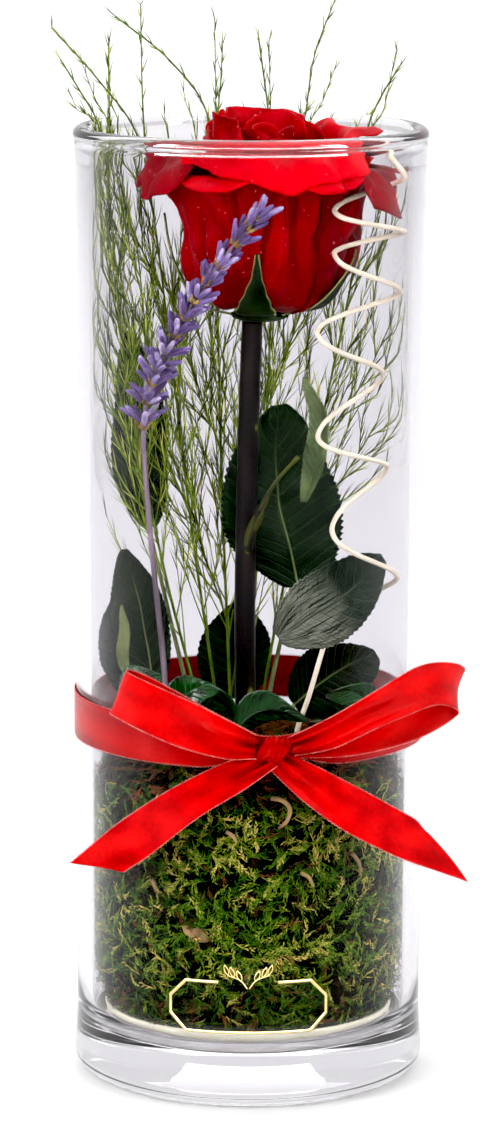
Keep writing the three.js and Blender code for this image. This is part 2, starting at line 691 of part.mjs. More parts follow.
const LOOP_LEFT = [
  { at: vec(1.8, -61, 116.6), side: side(-0.1, -0.2, -1, 3.4) },
  { at: vec(-6, -63.4, 119), side: side(-0.2, -0.2, -1, 5.4) },
  { at: vec(-20, -64.6, 124.6), side: side(-0.36, -0.15, -0.93) },
  { at: vec(-33, -62, 130), side: side(-0.42, -0.1, -0.9) },
  { at: vec(-39.5, -57.5, 132.6), side: side(-0.45, 0, -0.89) },
  { at: vec(-37, -53.4, 131.6), side: side(-0.45, 0, -0.89) },
  { at: vec(-25, -54.6, 126.6), side: side(-0.42, 0, -0.9, 6.2) },
  { at: vec(-10, -58.4, 120.6), side: side(-0.3, 0, -0.95, 5) },
  { at: vec(1.8, -58.9, 116.9), side: side(-0.1, 0, -1, 3) },
];

const LOOP_RIGHT = [
  { at: vec(13, -61, 117.2), side: side(-0.2, -0.2, 1, 3.4) },
  { at: vec(24, -65.6, 122), side: side(-0.42, -0.3, 0.86, 5.2) },
  { at: vec(42, -68, 132), side: side(-0.4, -0.35, 0.85, 6.4) },
  { at: vec(54.5, -66, 137.4), side: side(-0.25, -0.25, 0.93, 6.6) },
  { at: vec(62.4, -61.6, 136), side: side(0.1, -0.1, 1) },
  { at: vec(64, -57.6, 133), side: side(0.15, 0, 1) },
  { at: vec(59.5, -55, 129.4), side: side(0, 0.1, 1) },
  { at: vec(46, -54.6, 123.4), side: side(-0.35, 0.1, 0.93) },
  { at: vec(30, -57.2, 118.4), side: side(-0.3, 0, 0.95, 5.4) },
  { at: vec(13, -58.9, 115.8), side: side(-0.1, 0, 1, 3) },
];

const TAIL_LEFT = [
  { at: vec(4.6, -60.2, 110.2), side: side(0.3, -0.3, -0.5, 2.4) },
  { at: vec(-5, -60.4, 106.8), side: side(0.55, -0.45, -0.65, 5.4) },
  { at: vec(-20, -59.4, 98), side: side(0.52, -0.6, -0.6) },
  { at: vec(-34, -56.8, 87.4), side: side(0.56, -0.5, -0.62) },
  { at: vec(-46.6, -53, 76.8), side: side(1, -0.42, -0.06, 9) },
];

const TAIL_RIGHT = [
  { at: vec(10.6, -60.2, 110), side: side(-0.3, -0.3, -0.5, 2.2) },
  { at: vec(19.5, -60.8, 105), side: side(-0.5, -0.4, -0.7, 5.6) },
  { at: vec(33, -60.4, 96.4), side: side(-0.42, -0.5, -0.75) },
  { at: vec(47, -58, 88.4), side: side(-0.36, -0.45, -0.8) },
  { at: vec(61.4, -54.4, 80.6), side: side(0.62, 0, -0.78, 9.6) },
];

function ribbonBand() {
  const inner = VASE_OUTER_RADIUS + GAP;
  const outer = inner + RIBBON_THICKNESS;
  const [low, high] = [RIBBON_HEIGHT - HALF, RIBBON_HEIGHT + HALF];
  return turned([[inner, low], [outer, low], [outer, high], [inner, high], [inner, low]], VASE_SIDES);
}

function knot() {
  const body = new THREE.SphereGeometry(1, 12, 7);
  body.scale(KNOT_SIZE.x, KNOT_SIZE.y, KNOT_SIZE.z);
  body.translate(KNOT.x, KNOT.y, KNOT.z);
  return bare(body);
}

// Assembly

const GLASS = finish(0xe8ecec, 0.05);
const FOIL = finish(0xe3c87e, 0.35, 0.6);
const SATIN = finish(0xd2000f, 0.35);
const MOSS = finish(0x5a7a26, 0.95);
const PAD = finish(0xbebea5, 0.9);
const BARK = finish(0x1a1716, 0.4);
const SEPAL = finish(0x1e3420, 0.6);
const PETAL = finish(0xc80410, 0.55);
const LEAF = finish(0x1c3222, 0.55);
const GLOSSY_LEAF = finish(0x145a22, 0.3);
const FERN = finish(0x50641e, 0.7);
const LAVENDER = finish(0x7366aa, 0.8);
const STICK = finish(0xf0e1c3, 0.6);

add('glass_vase', glassVase(), GLASS);
add('label', label(), FOIL);

const stalks = [LAVENDER_LINE, curlLine().reverse()]
  .concat([...Object.values(FERNS), ...Object.values(LEAVES)].map(({ stalk = [] }) => stalk))
  .filter((line) => line.length > 0);
const sockets = [socket(STEM_LINE[0], STEM_SOCKET), ...stalks.map(([foot]) => socket(foot, STALK_SOCKET))];

add('moss_cushion', mossCushion(sockets), MOSS);
add('base_pad', basePad(), PAD);

add('rose_stem', roseStem(), BARK);
add('rose_calyx', calyx(), SEPAL);

const stickWay = curlyStick(CURL_RADIUS + GAP + 0.1);
PETALS.forEach((spec, index) => {
  const shape = index < 10 ? cut(petal(spec), [stickWay]) : petal(spec);
  add(`petal_${String(index + 1).padStart(2, '0')}`, shape, PETAL);
});

for (const [name, spec] of Object.entries(LEAVES)) {
  add(name, leaf(spec), name.startsWith('small') ? GLOSSY_LEAF : LEAF);
}
for (const [name, spec] of Object.entries(FERNS)) {
  add(name, fern(spec), FERN);
}
add('lavender', lavender(), LAVENDER);
add('curly_stick', curlyStick(CURL_RADIUS), STICK);

add('ribbon_band', ribbonBand(), SATIN);
add('ribbon_knot', knot(), SATIN);
add('ribbon_loop_left', strip(LOOP_LEFT), SATIN);
add('ribbon_loop_right', strip(LOOP_RIGHT), SATIN);
add('ribbon_tail_left', strip(TAIL_LEFT), SATIN);
add('ribbon_tail_right', strip(TAIL_RIGHT), SATIN);

export default model;
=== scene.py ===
# %% [markdown]
# # A preserved rose in a tall glass vase
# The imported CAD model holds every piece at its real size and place, and it stays as it is.
# This lesson dresses each of its pieces: the plants get fine meshes grown from a few
# named lines, the vase gets real refraction, and the ribbon becomes satin.
# All lines and sizes below are in millimetres; Blender itself works in metres.

# %% Load the frame
import math

import bmesh
import bpy
import numpy as np
from mathutils import Matrix, Vector, noise


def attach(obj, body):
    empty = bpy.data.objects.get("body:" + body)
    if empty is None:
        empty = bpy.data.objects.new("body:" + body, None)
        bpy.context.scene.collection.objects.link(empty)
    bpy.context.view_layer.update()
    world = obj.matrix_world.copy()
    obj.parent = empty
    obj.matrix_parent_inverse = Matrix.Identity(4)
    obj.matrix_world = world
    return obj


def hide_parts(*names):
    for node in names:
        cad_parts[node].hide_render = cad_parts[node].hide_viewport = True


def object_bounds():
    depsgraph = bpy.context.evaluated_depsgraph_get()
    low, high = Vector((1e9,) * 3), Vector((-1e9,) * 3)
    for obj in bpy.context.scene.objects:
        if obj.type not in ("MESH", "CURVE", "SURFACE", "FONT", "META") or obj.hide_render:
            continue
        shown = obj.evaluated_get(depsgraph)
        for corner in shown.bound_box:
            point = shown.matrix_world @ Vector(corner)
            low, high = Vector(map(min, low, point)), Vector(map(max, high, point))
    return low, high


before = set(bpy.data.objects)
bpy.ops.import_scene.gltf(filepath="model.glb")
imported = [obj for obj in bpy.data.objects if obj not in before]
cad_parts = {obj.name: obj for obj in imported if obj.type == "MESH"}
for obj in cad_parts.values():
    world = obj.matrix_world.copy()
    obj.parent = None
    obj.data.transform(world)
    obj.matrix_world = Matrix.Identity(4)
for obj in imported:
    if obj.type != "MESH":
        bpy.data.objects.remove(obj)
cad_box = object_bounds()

MM = 0.001
NOISE_SEED = 1796035246      # without a number, Blender's noise vectors start from the clock
noise.seed_set(NOISE_SEED)
chance = np.random.default_rng(11)
print("nodes to dress:", len(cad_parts))

# %% [markdown]
# ## From points to meshes
# Almost everything here is grown in numbers: rows of points along a petal, rings along a
# stalk, thousands of moss leaves. A small class gathers points and faces and makes one
# mesh of them at the end, which is far quicker than adding objects one by one.
# Each point also carries a tint from 0 to 1, so one material can vary from leaf to leaf.

# %% A heap of points and faces
class Heap:
    """Gathers points in millimetres and faces, and turns them into one piece."""

    def __init__(self):
        self.points, self.uvs, self.tints = [], [], []
        self.faces, self.slots = [], []
        self.total = 0

    def add(self, points, faces, uv=None, tint=0.5, slot=0):
        """Takes in points and groups of faces; slot is a material's number, or one for each group."""
        points = np.asarray(points, float).reshape(-1, 3)
        count = len(points)
        self.points.append(points)
        self.uvs.append(np.zeros((count, 2)) if uv is None else np.asarray(uv, float).reshape(-1, 2))
        self.tints.append(np.broadcast_to(np.asarray(tint, float).ravel(), count))
        for group, kind in zip(faces, slot if isinstance(slot, list) else [slot] * len(faces)):
            self.faces.append(np.asarray(group, int) + self.total)
            self.slots.append(np.full(len(group), kind))
        self.total += count

    def piece(self, name, materials, slot, replaces=(), weld=False):
        """Makes the mesh, with its UV grid and its tint, and puts it in the scene."""
        corners = np.concatenate([group.ravel() for group in self.faces])
        sizes = np.concatenate([np.full(len(group), group.shape[1]) for group in self.faces])
        mesh = bpy.data.meshes.new(name)
        mesh.vertices.add(self.total)
        mesh.vertices.foreach_set("co", (np.vstack(self.points) * MM).ravel())
        mesh.loops.add(len(corners))
        mesh.loops.foreach_set("vertex_index", corners)
        mesh.polygons.add(len(sizes))
        mesh.polygons.foreach_set("loop_start", np.concatenate([[0], np.cumsum(sizes)[:-1]]))
        mesh.polygons.foreach_set("material_index", np.concatenate(self.slots))
        mesh.polygons.foreach_set("use_smooth", np.ones(len(sizes), bool))
        mesh.uv_layers.new(name="UVMap").data.foreach_set("uv", np.vstack(self.uvs)[corners].ravel())
        tints = mesh.attributes.new("tint", "FLOAT", "POINT")
        tints.data.foreach_set("value", np.concatenate(self.tints).astype(np.float32))
        mesh.update(calc_edges=True)
        mesh.validate()
        if weld:
            weld_points(mesh)
        return place(name, mesh, materials, replaces)


def weld_points(mesh, distance=0.01 * MM):
    """Joins the points that a turned form repeats where it meets its axis."""
    work = bmesh.new()
    work.from_mesh(mesh)
    bmesh.ops.remove_doubles(work, verts=work.verts, dist=distance)
    work.to_mesh(mesh)
    work.free()


def place(name, mesh, materials, replaces=()):
    """Puts a mesh in the scene, on the arrangement's one body."""
    piece = bpy.data.objects.new(name, mesh)
    bpy.context.scene.collection.objects.link(piece)
    for material in materials:
        mesh.materials.append(material)
    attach(piece, "root")
    if replaces:
        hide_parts(*replaces)
    return piece


def mix(a, b, share):
    """Between a and b, by a share from 0 to 1."""
    return a + (b - a) * share


def smooth(low, high, value):
    """Runs softly from 0 at low to 1 at high."""
    share = np.clip((np.asarray(value, float) - low) / (high - low), 0, 1)
    return share * share * (3 - 2 * share)


def unit(vectors):
    """The same directions, each of length 1."""
    vectors = np.asarray(vectors, float)
    return vectors / np.maximum(np.linalg.norm(vectors, axis=-1, keepdims=True), 1e-9)


print("heap ready")

# %% [markdown]
# ## Lines, tubes, turned forms and sheets
# Four forms make nearly every piece: a smooth line through a few chosen points, a round
# rod along such a line, a profile turned round an axis, and a thin sheet with two skins.
# Curve objects and modifiers could make them too, but petals that nest without touching
# need every point in hand, so the forms are made from arrays of points.

# %% Lines, tubes, turned forms and sheets
def through(points, count):
    """So many points on a smooth curve through the given ones."""
    points = np.asarray(points, float)
    padded = np.vstack([2 * points[0] - points[1], points, 2 * points[-1] - points[-2]])
    found = []
    for place_on in np.linspace(0, len(points) - 1, count):
        index = min(int(place_on), len(points) - 2)
        t = place_on - index
        a, b, c, d = padded[index:index + 4]
        k0, k1, k2 = (max(np.dot(q - p, q - p), 1e-8) ** 0.25 for p, q in ((a, b), (b, c), (c, d)))
        start = ((b - a) / k0 - (c - a) / (k0 + k1) + (c - b) / k1) * k1
        end = ((c - b) / k1 - (d - b) / (k1 + k2) + (d - c) / k2) * k1
        found.append((2 * b - 2 * c + start + end) * t ** 3 + (3 * c - 3 * b - 2 * start - end) * t ** 2
                     + start * t + b)
    return np.array(found)


def evenly(line, step):
    """The same line with points a fixed step apart."""
    line = np.asarray(line, float)
    gaps = np.linalg.norm(np.diff(line, axis=0), axis=1)
    far = np.concatenate([[0], np.cumsum(gaps)])
    stops = np.linspace(0, far[-1], max(2, int(far[-1] / step) + 1))
    return np.stack([np.interp(stops, far, line[:, axis]) for axis in range(line.shape[1])], -1)


def tube(line, radius, sides=8):
    """A closed round rod along a line, with one radius or one for each point."""
    line = np.asarray(line, float)
    radius = np.broadcast_to(np.asarray(radius, float), len(line))
    way = unit(np.gradient(line, axis=0))
    side = np.zeros_like(line)
    side[0] = unit(np.cross(way[0], (0, 1, 0) if abs(way[0][2]) > 0.5 else (0, 0, 1)))
    for k in range(1, len(line)):
        side[k] = unit(side[k - 1] - way[k] * np.dot(side[k - 1], way[k]))
    up = np.cross(way, side)
    turn = np.linspace(0, 2 * np.pi, sides, endpoint=False)
    ring = side[:, None] * np.cos(turn)[:, None] + up[:, None] * np.sin(turn)[:, None]
    points = (line[:, None] + ring * radius[:, None, None]).reshape(-1, 3)
    grid = np.arange(len(line) * sides).reshape(len(line), sides)
    after = np.roll(grid, -1, axis=1)
    walls = np.stack([grid[:-1], after[:-1], after[1:], grid[1:]], -1).reshape(-1, 4)
    first, last = len(points), len(points) + 1
    caps = [[after[0][k], grid[0][k], first] for k in range(sides)]
    caps += [[grid[-1][k], after[-1][k], last] for k in range(sides)]
    far = np.concatenate([[0], np.cumsum(np.linalg.norm(np.diff(line, axis=0), axis=1))])
    uv = np.stack([np.tile(turn / 2 / np.pi, len(line)), np.repeat(far / 100, sides)], -1)
    uv = np.vstack([uv, [0, 0], [0, far[-1] / 100]])
    return np.vstack([points, line[:1], line[-1:]]), [walls, caps], uv


def turned(profile, sides):
    """(radius, height) pairs turned round the vertical axis."""
    profile = np.asarray(profile, float)
    turn = np.linspace(0, 2 * np.pi, sides, endpoint=False)
    heights = np.repeat(profile[:, 1:], sides, axis=1)
    points = np.stack([np.outer(profile[:, 0], np.cos(turn)), np.outer(profile[:, 0], np.sin(turn)),
                       heights], -1)
    grid = np.arange(len(profile) * sides).reshape(len(profile), sides)
    after = np.roll(grid, -1, axis=1)
    walls = np.stack([grid[:-1], after[:-1], after[1:], grid[1:]], -1).reshape(-1, 4)
    return points.reshape(-1, 3), [walls]


def sheet(rows, thickness):
    """A grid of points becomes two skins joined at the rim."""
    rows = np.asarray(rows, float)
    tall, wide = rows.shape[:2]
    normal = unit(np.cross(np.gradient(rows, axis=1), np.gradient(rows, axis=0)))
    half = (np.broadcast_to(np.asarray(thickness, float), (tall, wide)) / 2)[..., None]
    points = np.concatenate([(rows + normal * half).reshape(-1, 3), (rows - normal * half).reshape(-1, 3)])
    grid = np.arange(tall * wide).reshape(tall, wide)
    front = np.stack([grid[:-1, :-1], grid[:-1, 1:], grid[1:, 1:], grid[1:, :-1]], -1).reshape(-1, 4)
    back = front[:, ::-1] + tall * wide
    rim = np.concatenate([grid[0, :-1], grid[:-1, -1], grid[-1, :0:-1], grid[:0:-1, 0]])
    after = np.roll(rim, -1)
    edge = np.stack([after, rim, rim + tall * wide, after + tall * wide], -1)
    across, along = np.meshgrid(np.linspace(0, 1, wide), np.linspace(0, 1, tall))
    uv = np.stack([across, along], -1).reshape(-1, 2)
    return points, [front, back, edge], np.vstack([uv, uv])


def stirred(points, size, scale, seed=0.0):
    """Moves points by a smooth noise field, the same for all pieces, so neighbours never cross."""
    points = np.asarray(points, float)
    flat = points.reshape(-1, 3)
    moves = [noise.noise_vector(Vector(p / scale) + Vector((seed, 0, 0))) for p in flat]
    return points + np.array(moves).reshape(points.shape) * size


print("helpers ready")

# %% [markdown]
# ## Materials from nodes
# Every finish is a Principled shader whose colour and relief come from procedural noise.
# A few small helpers keep the node graphs short: they make a shader, add a node and wire
# it, read a coordinate, move a value to another range, paint shade into hollows and turn
# a height into bump. Values that are the same all over stay on the shader's own sockets.

# %% Node helpers
def finish(name, colour, roughness, **more):
    """A shader with its plain values; more holds other sockets, with _ for a space."""
    material = bpy.data.materials.new(name)
    material.use_nodes = True
    surface = material.node_tree.nodes["Principled BSDF"]
    values = {"Base Color": (*colour, 1), "Roughness": roughness}
    values.update({key.replace("_", " "): value for key, value in more.items()})
    for socket, value in values.items():
        surface.inputs[socket].default_value = value
    return material


def node(material, kind, inputs, **settings):
    """One more node; an input is a number, a colour or another node's socket."""
    made = material.node_tree.nodes.new("ShaderNode" + kind)
    for key, value in settings.items():
        setattr(made, key, value)
    for key, value in inputs.items():
        if isinstance(value, bpy.types.NodeSocket):
            material.node_tree.links.new(value, made.inputs[key])
        else:
            made.inputs[key].default_value = value
    return made


def coordinate(material, space, axis):
    """One coordinate of the surface, in object space or along the piece's own UV grid."""
    place_on = node(material, "TexCoord", {}).outputs[space]
    return node(material, "SeparateXYZ", {0: place_on}).outputs[axis]


def rescaled(material, value, low, high, to_low=0.0, to_high=1.0):
    """A value moved from one range to another, and held inside it."""
    return node(material, "MapRange", {"Value": value, "From Min": low, "From Max": high,
                                       "To Min": to_low, "To Max": to_high}).outputs[0]


def spots(material, scale, detail=3, stretch=(1, 1, 1), where="Object"):
    """Noise from 0 to 1, in object space or along the piece's own UV grid."""
    place_on = node(material, "TexCoord", {}).outputs[where]
    shaped = node(material, "Mapping", {"Vector": place_on, "Scale": stretch}).outputs[0]
    return node(material, "TexNoise", {"Vector": shaped, "Scale": scale, "Detail": detail}).outputs["Fac"]


def ramp(material, factor, *stops):
    """Colours along a factor: pairs of a position and a colour."""
    made = node(material, "ValToRGB", {"Fac": factor})
    band = made.color_ramp
    while len(band.elements) < len(stops):
        band.elements.new(0.5)
    for element, (position, colour) in zip(band.elements, stops):
        element.position = position
        element.color = (*colour, 1)
    return made.outputs["Color"]


def maths(material, operation, a, b=0.0):
    """A sum, a product or another operation on one or two values."""
    return node(material, "Math", {0: a, 1: b}, operation=operation).outputs[0]


def blend(material, factor, a, b):
    """From colour a at factor 0 to colour b at factor 1."""
    return node(material, "Mix", {0: factor, 6: a, 7: b}, data_type="RGBA").outputs[2]


def painted_hollow_shade(material, distance, low, high, most):
    """Painted shade: 0 on open parts, and up to most in the piece's own folds and hollows, found by ambient
    occlusion.
    """
    openness = node(material, "AmbientOcclusion", {"Distance": distance * MM}, only_local=True).outputs["AO"]
    return rescaled(material, openness, low, high, most, 0.0)


def tint_of(material):
    """The tint that each point carries."""
    return node(material, "Attribute", {}, attribute_name="tint").outputs["Fac"]


def speckled_tint(material, scale, amount):
    """The tint that each point carries, with a fine noise added."""
    speckle = maths(material, "SUBTRACT", spots(material, scale), 0.5)
    return maths(material, "ADD", tint_of(material), maths(material, "MULTIPLY", speckle, amount))


def colour_by(material, colour):
    """Lets a colour of the node graph paint the surface."""
    surface = material.node_tree.nodes["Principled BSDF"]
    material.node_tree.links.new(colour, surface.inputs["Base Color"])


def relief(material, height, distance, strength=1.0):
    """Bump of a real height, in millimetres."""
    surface = material.node_tree.nodes["Principled BSDF"]
    bump = node(material, "Bump", {"Height": height, "Distance": distance * MM, "Strength": strength})
    material.node_tree.links.new(bump.outputs[0], surface.inputs["Normal"])


def seen(red, green, blue):
    """A colour as it is seen on the screen, 0 to 255, turned into Blender's linear values."""
    return tuple(((v / 255 + 0.055) / 1.055) ** 2.4 if v > 10 else v / 255 / 12.92
                 for v in (red, green, blue))


print("node helpers ready")

# %% [markdown]
# ## The camera
# The photograph was taken from about a metre and a half in front, a little above the rim
# and looking ten degrees down, with a long lens. Its fit to the rim's and the foot's
# ellipses also gives a very small roll. The sensor is set along the picture's height.

# %% Camera
PHOTO_HEIGHT = 1129
FOCAL_PIXELS = 4641
PITCH, ROLL = math.radians(10.42), 0.00316
CAMERA_AT = (-2.35, -1437, 426)
SENSOR = 36

camera_data = bpy.data.cameras.new("photo_camera")
camera_data.sensor_width = SENSOR
camera_data.lens = SENSOR * FOCAL_PIXELS / PHOTO_HEIGHT
camera_data.clip_start = 0.05
camera = bpy.data.objects.new("photo_camera", camera_data)
bpy.context.scene.collection.objects.link(camera)
aim = Matrix.Rotation(math.pi / 2 - PITCH, 4, "X") @ Matrix.Rotation(ROLL, 4, "Z")
camera.matrix_world = Matrix.Translation([v * MM for v in CAMERA_AT]) @ aim
bpy.context.scene.camera = camera
print("lens", round(camera_data.lens, 1), "mm")

# %% [markdown]
# ## Floor and sky
# The picture shows the arrangement on pure white. A large pale floor under a bright sky
# gives that white, with a soft shadow under the glass. Glass is seen only by what it
# mirrors and bends, so the sky isn't even: it is bright behind the vase and greyer on
# the near side, and the edges of the glass pick up that grey.

# %% Floor and sky
FLOOR_RADIUS, FLOOR_LEVEL, FLOOR_SIDES = 9000, -0.2, 96
floor_turn = np.linspace(0, 2 * np.pi, FLOOR_SIDES, endpoint=False)
floor_rim = np.stack([FLOOR_RADIUS * np.cos(floor_turn), FLOOR_RADIUS * np.sin(floor_turn),
                      np.full(FLOOR_SIDES, FLOOR_LEVEL)], -1) * MM
floor_mesh = bpy.data.meshes.new("floor")
floor_mesh.from_pydata(floor_rim.tolist(), [], [list(range(FLOOR_SIDES))])
floor_mesh.materials.append(finish("floor_paint", (0.94, 0.94, 0.945), 0.9))
floor = bpy.data.objects.new("floor", floor_mesh)
bpy.context.scene.collection.objects.link(floor)

NEAR_SKY, FAR_SKY = (0.0, (0.45, 0.45, 0.46, 1)), (0.45, (0.95, 0.95, 0.96, 1))
sky = bpy.data.worlds.new("studio")
bpy.context.scene.world = sky
sky.use_nodes = True
sky_nodes, sky_links = sky.node_tree.nodes, sky.node_tree.links
direction = sky_nodes.new("ShaderNodeTexCoord")
parts = sky_nodes.new("ShaderNodeSeparateXYZ")
greys = sky_nodes.new("ShaderNodeValToRGB")
sky_links.new(direction.outputs["Generated"], parts.inputs[0])
sky_links.new(parts.outputs["Y"], greys.inputs["Fac"])
greys.color_ramp.interpolation = "EASE"
for stop, (position, grey) in zip(greys.color_ramp.elements, (NEAR_SKY, FAR_SKY)):
    stop.position = position
    stop.color = grey
sky_links.new(greys.outputs["Color"], sky_nodes["Background"].inputs["Color"])
sky_nodes["Background"].inputs["Strength"].default_value = 1.0
print("floor", 2 * FLOOR_RADIUS * MM, "m across")

# %% [markdown]
# ## Softboxes
# The largest softbox hangs over the floor behind the vase and keeps the background white;
# one at each side gives the plants their form. Satin and glass need something to mirror,
# so three more lights are seen by gloss alone: a long strip in front, which draws the
# white lines on the lip, and an upright panel at each side for the highlights on the
# satin. They are left out of the camera's view and of the plain light.
# The Standard view keeps the reds pure, and a small black level deepens the darkest
# greens. Light that goes through two walls of glass needs many bounces.

# %% Softboxes
def softbox(name, place_at, towards, size, watts):
    """A rectangular light; places and sizes in metres."""
    light = bpy.data.lights.new(name, "AREA")
    light.shape = "RECTANGLE"
    light.size, light.size_y = size
    light.energy = watts
    lamp = bpy.data.objects.new(name, light)
    bpy.context.scene.collection.objects.link(lamp)
    lamp.location = place_at
    lamp.rotation_euler = (Vector(towards) - Vector(place_at)).to_track_quat("-Z", "Y").to_euler()
    return lamp


softbox("ceiling_softbox", (0, 3.2, 2.0), (0, 3.2001, 0), (3.4, 7.6), 90)
softbox("left_softbox", (-1.1, -1.0, 0.95), (0, 0, 0.18), (0.7, 0.9), 15)
softbox("right_softbox", (1.1, -1.1, 0.85), (0, 0, 0.18), (0.6, 0.9), 9)
strip = softbox("front_strip", (0, -0.75, 0.47), (0, 0, 0.29), (2.6, 0.2), 34)
left_panel = softbox("left_gloss_panel", (-0.62, -0.4, 0.56), (0, -0.05, 0.1), (0.16, 0.5), 9)
right_panel = softbox("right_gloss_panel", (0.62, -0.4, 0.56), (0, -0.05, 0.1), (0.16, 0.5), 9)
for gloss_only in (strip, left_panel, right_panel):
    gloss_only.visible_camera = gloss_only.visible_diffuse = False

BLACK_LEVEL = 0.012
view = bpy.context.scene.view_settings
view.view_transform = "Standard"
view.use_curve_mapping = True
view.curve_mapping.black_level = (BLACK_LEVEL,) * 3
view.curve_mapping.update()
bounces = bpy.context.scene.cycles
bounces.transmission_bounces = bounces.transparent_max_bounces = 16
bounces.max_bounces = 20
print("three softboxes and three gloss lights")

# %% [markdown]
# ## The glass vase
# The real vase is a thick cylinder with a heavy bottom and a lip melted round in a flame.
# The CAD's vase has flat sides, which refraction would show, so a finer turned form on
# the same profile takes its place. A faint swelling under the lip is left from the
# melting.

# %% The vase's form
VASE_HEIGHT, BORE, WALL_OUT, FOOT_OUT, LIP_OUT = 300, 50, 54.6, 55.3, 55.3
VASE_FLOOR, HEEL, FLOOR_FILLET = 15.5, 6, 9
VASE_SIDES = 192


def arc(centre, radius, start, stop, steps):
    """Points on an arc of a profile, from one angle to another, in degrees."""
    angles = np.radians(np.linspace(start, stop, steps + 1))
    return np.stack([centre[0] + radius * np.cos(angles), centre[1] + radius * np.sin(angles)], -1)


lip = (LIP_OUT - BORE) / 2
vase_profile = np.vstack([
    [[0, 1.2], [20, 1.1], [42, 0.5], [46.5, 0]],
    arc((FOOT_OUT - HEEL, HEEL), HEEL, -90, 0, 10),
    [[55.2, 9], [54.9, 14], [54.65, 19], [WALL_OUT, 24], [WALL_OUT, 100], [WALL_OUT, 200],
     [WALL_OUT, 287.5], [54.75, 291.5], [54.98, 293.9], [55.0, 294.7], [54.9, 295.5], [54.78, 296.0]],
    arc((BORE + lip, VASE_HEIGHT - lip), lip, -12, 180, 16),
    [[BORE, 290], [BORE, 200], [BORE, 100], [BORE, 30]],
    arc((BORE - FLOOR_FILLET, VASE_FLOOR + FLOOR_FILLET), FLOOR_FILLET, 0, -90, 8),
    [[30, VASE_FLOOR], [0, VASE_FLOOR]],
])
print("glass bottom", VASE_FLOOR, "mm thick")

# %% [markdown]
# ## Clear glass
# Clear glass is full transmission with an index of 1.5, and a very light absorption in
# its volume greys the thick bottom. In a bright room a plain wall would also mirror the
# lights as a veil over the plants, so its mirror tint is low. The lip and the solid
# bottom keep the full reflection, because their white lines and soft greys are mirrored.

# %% Glass finish and vase
WALL_MIRROR = 0.02
LIP_GLOSS_FROM, LIP_GLOSS_FULL = 294.2, 295.4
FOOT_GLOSS_FULL, FOOT_GLOSS_END = 24, 27

glass = finish("clear_glass", (0.79, 0.775, 0.8), 0.0, IOR=1.5, Transmission_Weight=1.0)
height = coordinate(glass, "Object", "Z")
lip_gloss = rescaled(glass, height, LIP_GLOSS_FROM * MM, LIP_GLOSS_FULL * MM, WALL_MIRROR, 1.0)
foot_gloss = rescaled(glass, height, FOOT_GLOSS_FULL * MM, FOOT_GLOSS_END * MM, 1.0, WALL_MIRROR)
mirror_tint = glass.node_tree.nodes["Principled BSDF"].inputs["Specular Tint"]
glass.node_tree.links.new(maths(glass, "MAXIMUM", lip_gloss, foot_gloss), mirror_tint)
glass_inside = node(glass, "VolumeAbsorption", {"Color": (0.5, 0.5, 0.55, 1), "Density": 0.8})
glass.node_tree.links.new(glass_inside.outputs[0], glass.node_tree.nodes["Material Output"].inputs["Volume"])

vase_heap = Heap()
vase_heap.add(*turned(vase_profile, VASE_SIDES))
vase = vase_heap.piece("clear_vase", [glass], "glass", ["glass_vase"], weld=True)
print("vase points", len(vase.data.vertices))

# %% [markdown]
# ## How the bloom is laid out
# A rose's petals never cut through each other, so they are drawn on nested bowls that
# spread like a fountain. A petal picks its own bowl (its layer), a direction, a width and
# how far it reaches: up the bowl and then over the rolled-back edge. The CAD's petals
# use the same bowls; here each petal gets many more rows, a wavy edge and a soft noise
# that is shared by all of them.

# %% The nested bowls
BOWLS = [
    (0.0, [[0.8, 253], [1.6, 262], [2.4, 275], [2.2, 290], [1.8, 302.5], [1.6, 304], [1.6, 304.5]]),
    (0.35, [[3.6, 249.5], [7.8, 256.5], [10.6, 270], [11.2, 287], [12.8, 303], [15, 307], [18, 308]]),
    (0.54, [[5, 247.6], [11.4, 253.4], [16, 267], [17.6, 285], [20.4, 303], [24, 306.5], [28, 307]]),
    (0.7, [[6.2, 246], [14.5, 251], [20.5, 264.5], [23, 281], [28, 295], [34, 298], [39, 296]]),
    (1.0, [[8.6, 242.4], [19, 246.5], [27, 259], [29.5, 275], [35.5, 287], [41.6, 283.5], [43, 276]]),
    (1.2, [[9.6, 241], [21, 244.6], [30, 257], [33, 272], [38, 281], [44, 278], [46, 269]]),
]
REACH_STEP = 0.25
CALYX_BASE, HEAD_OFFSET = 239.6, 3.0


def along_bowl(curve, reach):
    """A bowl's (radius, height) at a reach, on a smooth curve through its points."""
    curve = np.asarray(curve, float)
    spot = np.clip(np.asarray(reach, float) / REACH_STEP, 0, len(curve) - 1)
    index = np.minimum(spot.astype(int), len(curve) - 2)
    t = (spot - index)[..., None]
    before, after = curve[np.maximum(index - 1, 0)], curve[np.minimum(index + 2, len(curve) - 1)]
    here, there = curve[index], curve[index + 1]
    start, end = (there - before) / 2, (after - here) / 2
    return ((2 * here - 2 * there + start + end) * t ** 3 + (3 * there - 3 * here - 2 * start - end) * t ** 2
            + start * t + here)


def bloom(layer, reach, azimuth):
    """A point of the bloom in the vase's frame; azimuth in radians."""
    layer, reach, azimuth = np.broadcast_arrays(*(np.asarray(v, float) for v in (layer, reach, azimuth)))
    levels = np.array([level for level, _ in BOWLS])
    rings = np.stack([along_bowl(curve, reach) for _, curve in BOWLS])
    above = np.clip(np.searchsorted(levels, layer), 1, len(levels) - 1)
    share = ((layer - levels[above - 1]) / (levels[above] - levels[above - 1]))[..., None]
    pick = np.indices(above.shape)
    spot = mix(rings[(above - 1, *pick)], rings[(above, *pick)], share)
    lean = mix(HEAD_OFFSET, 5, smooth(CALYX_BASE, CALYX_BASE + 24, spot[..., 1]))
    return np.stack([spot[..., 0] * np.cos(azimuth) + lean, spot[..., 0] * np.sin(azimuth), spot[..., 1]], -1)


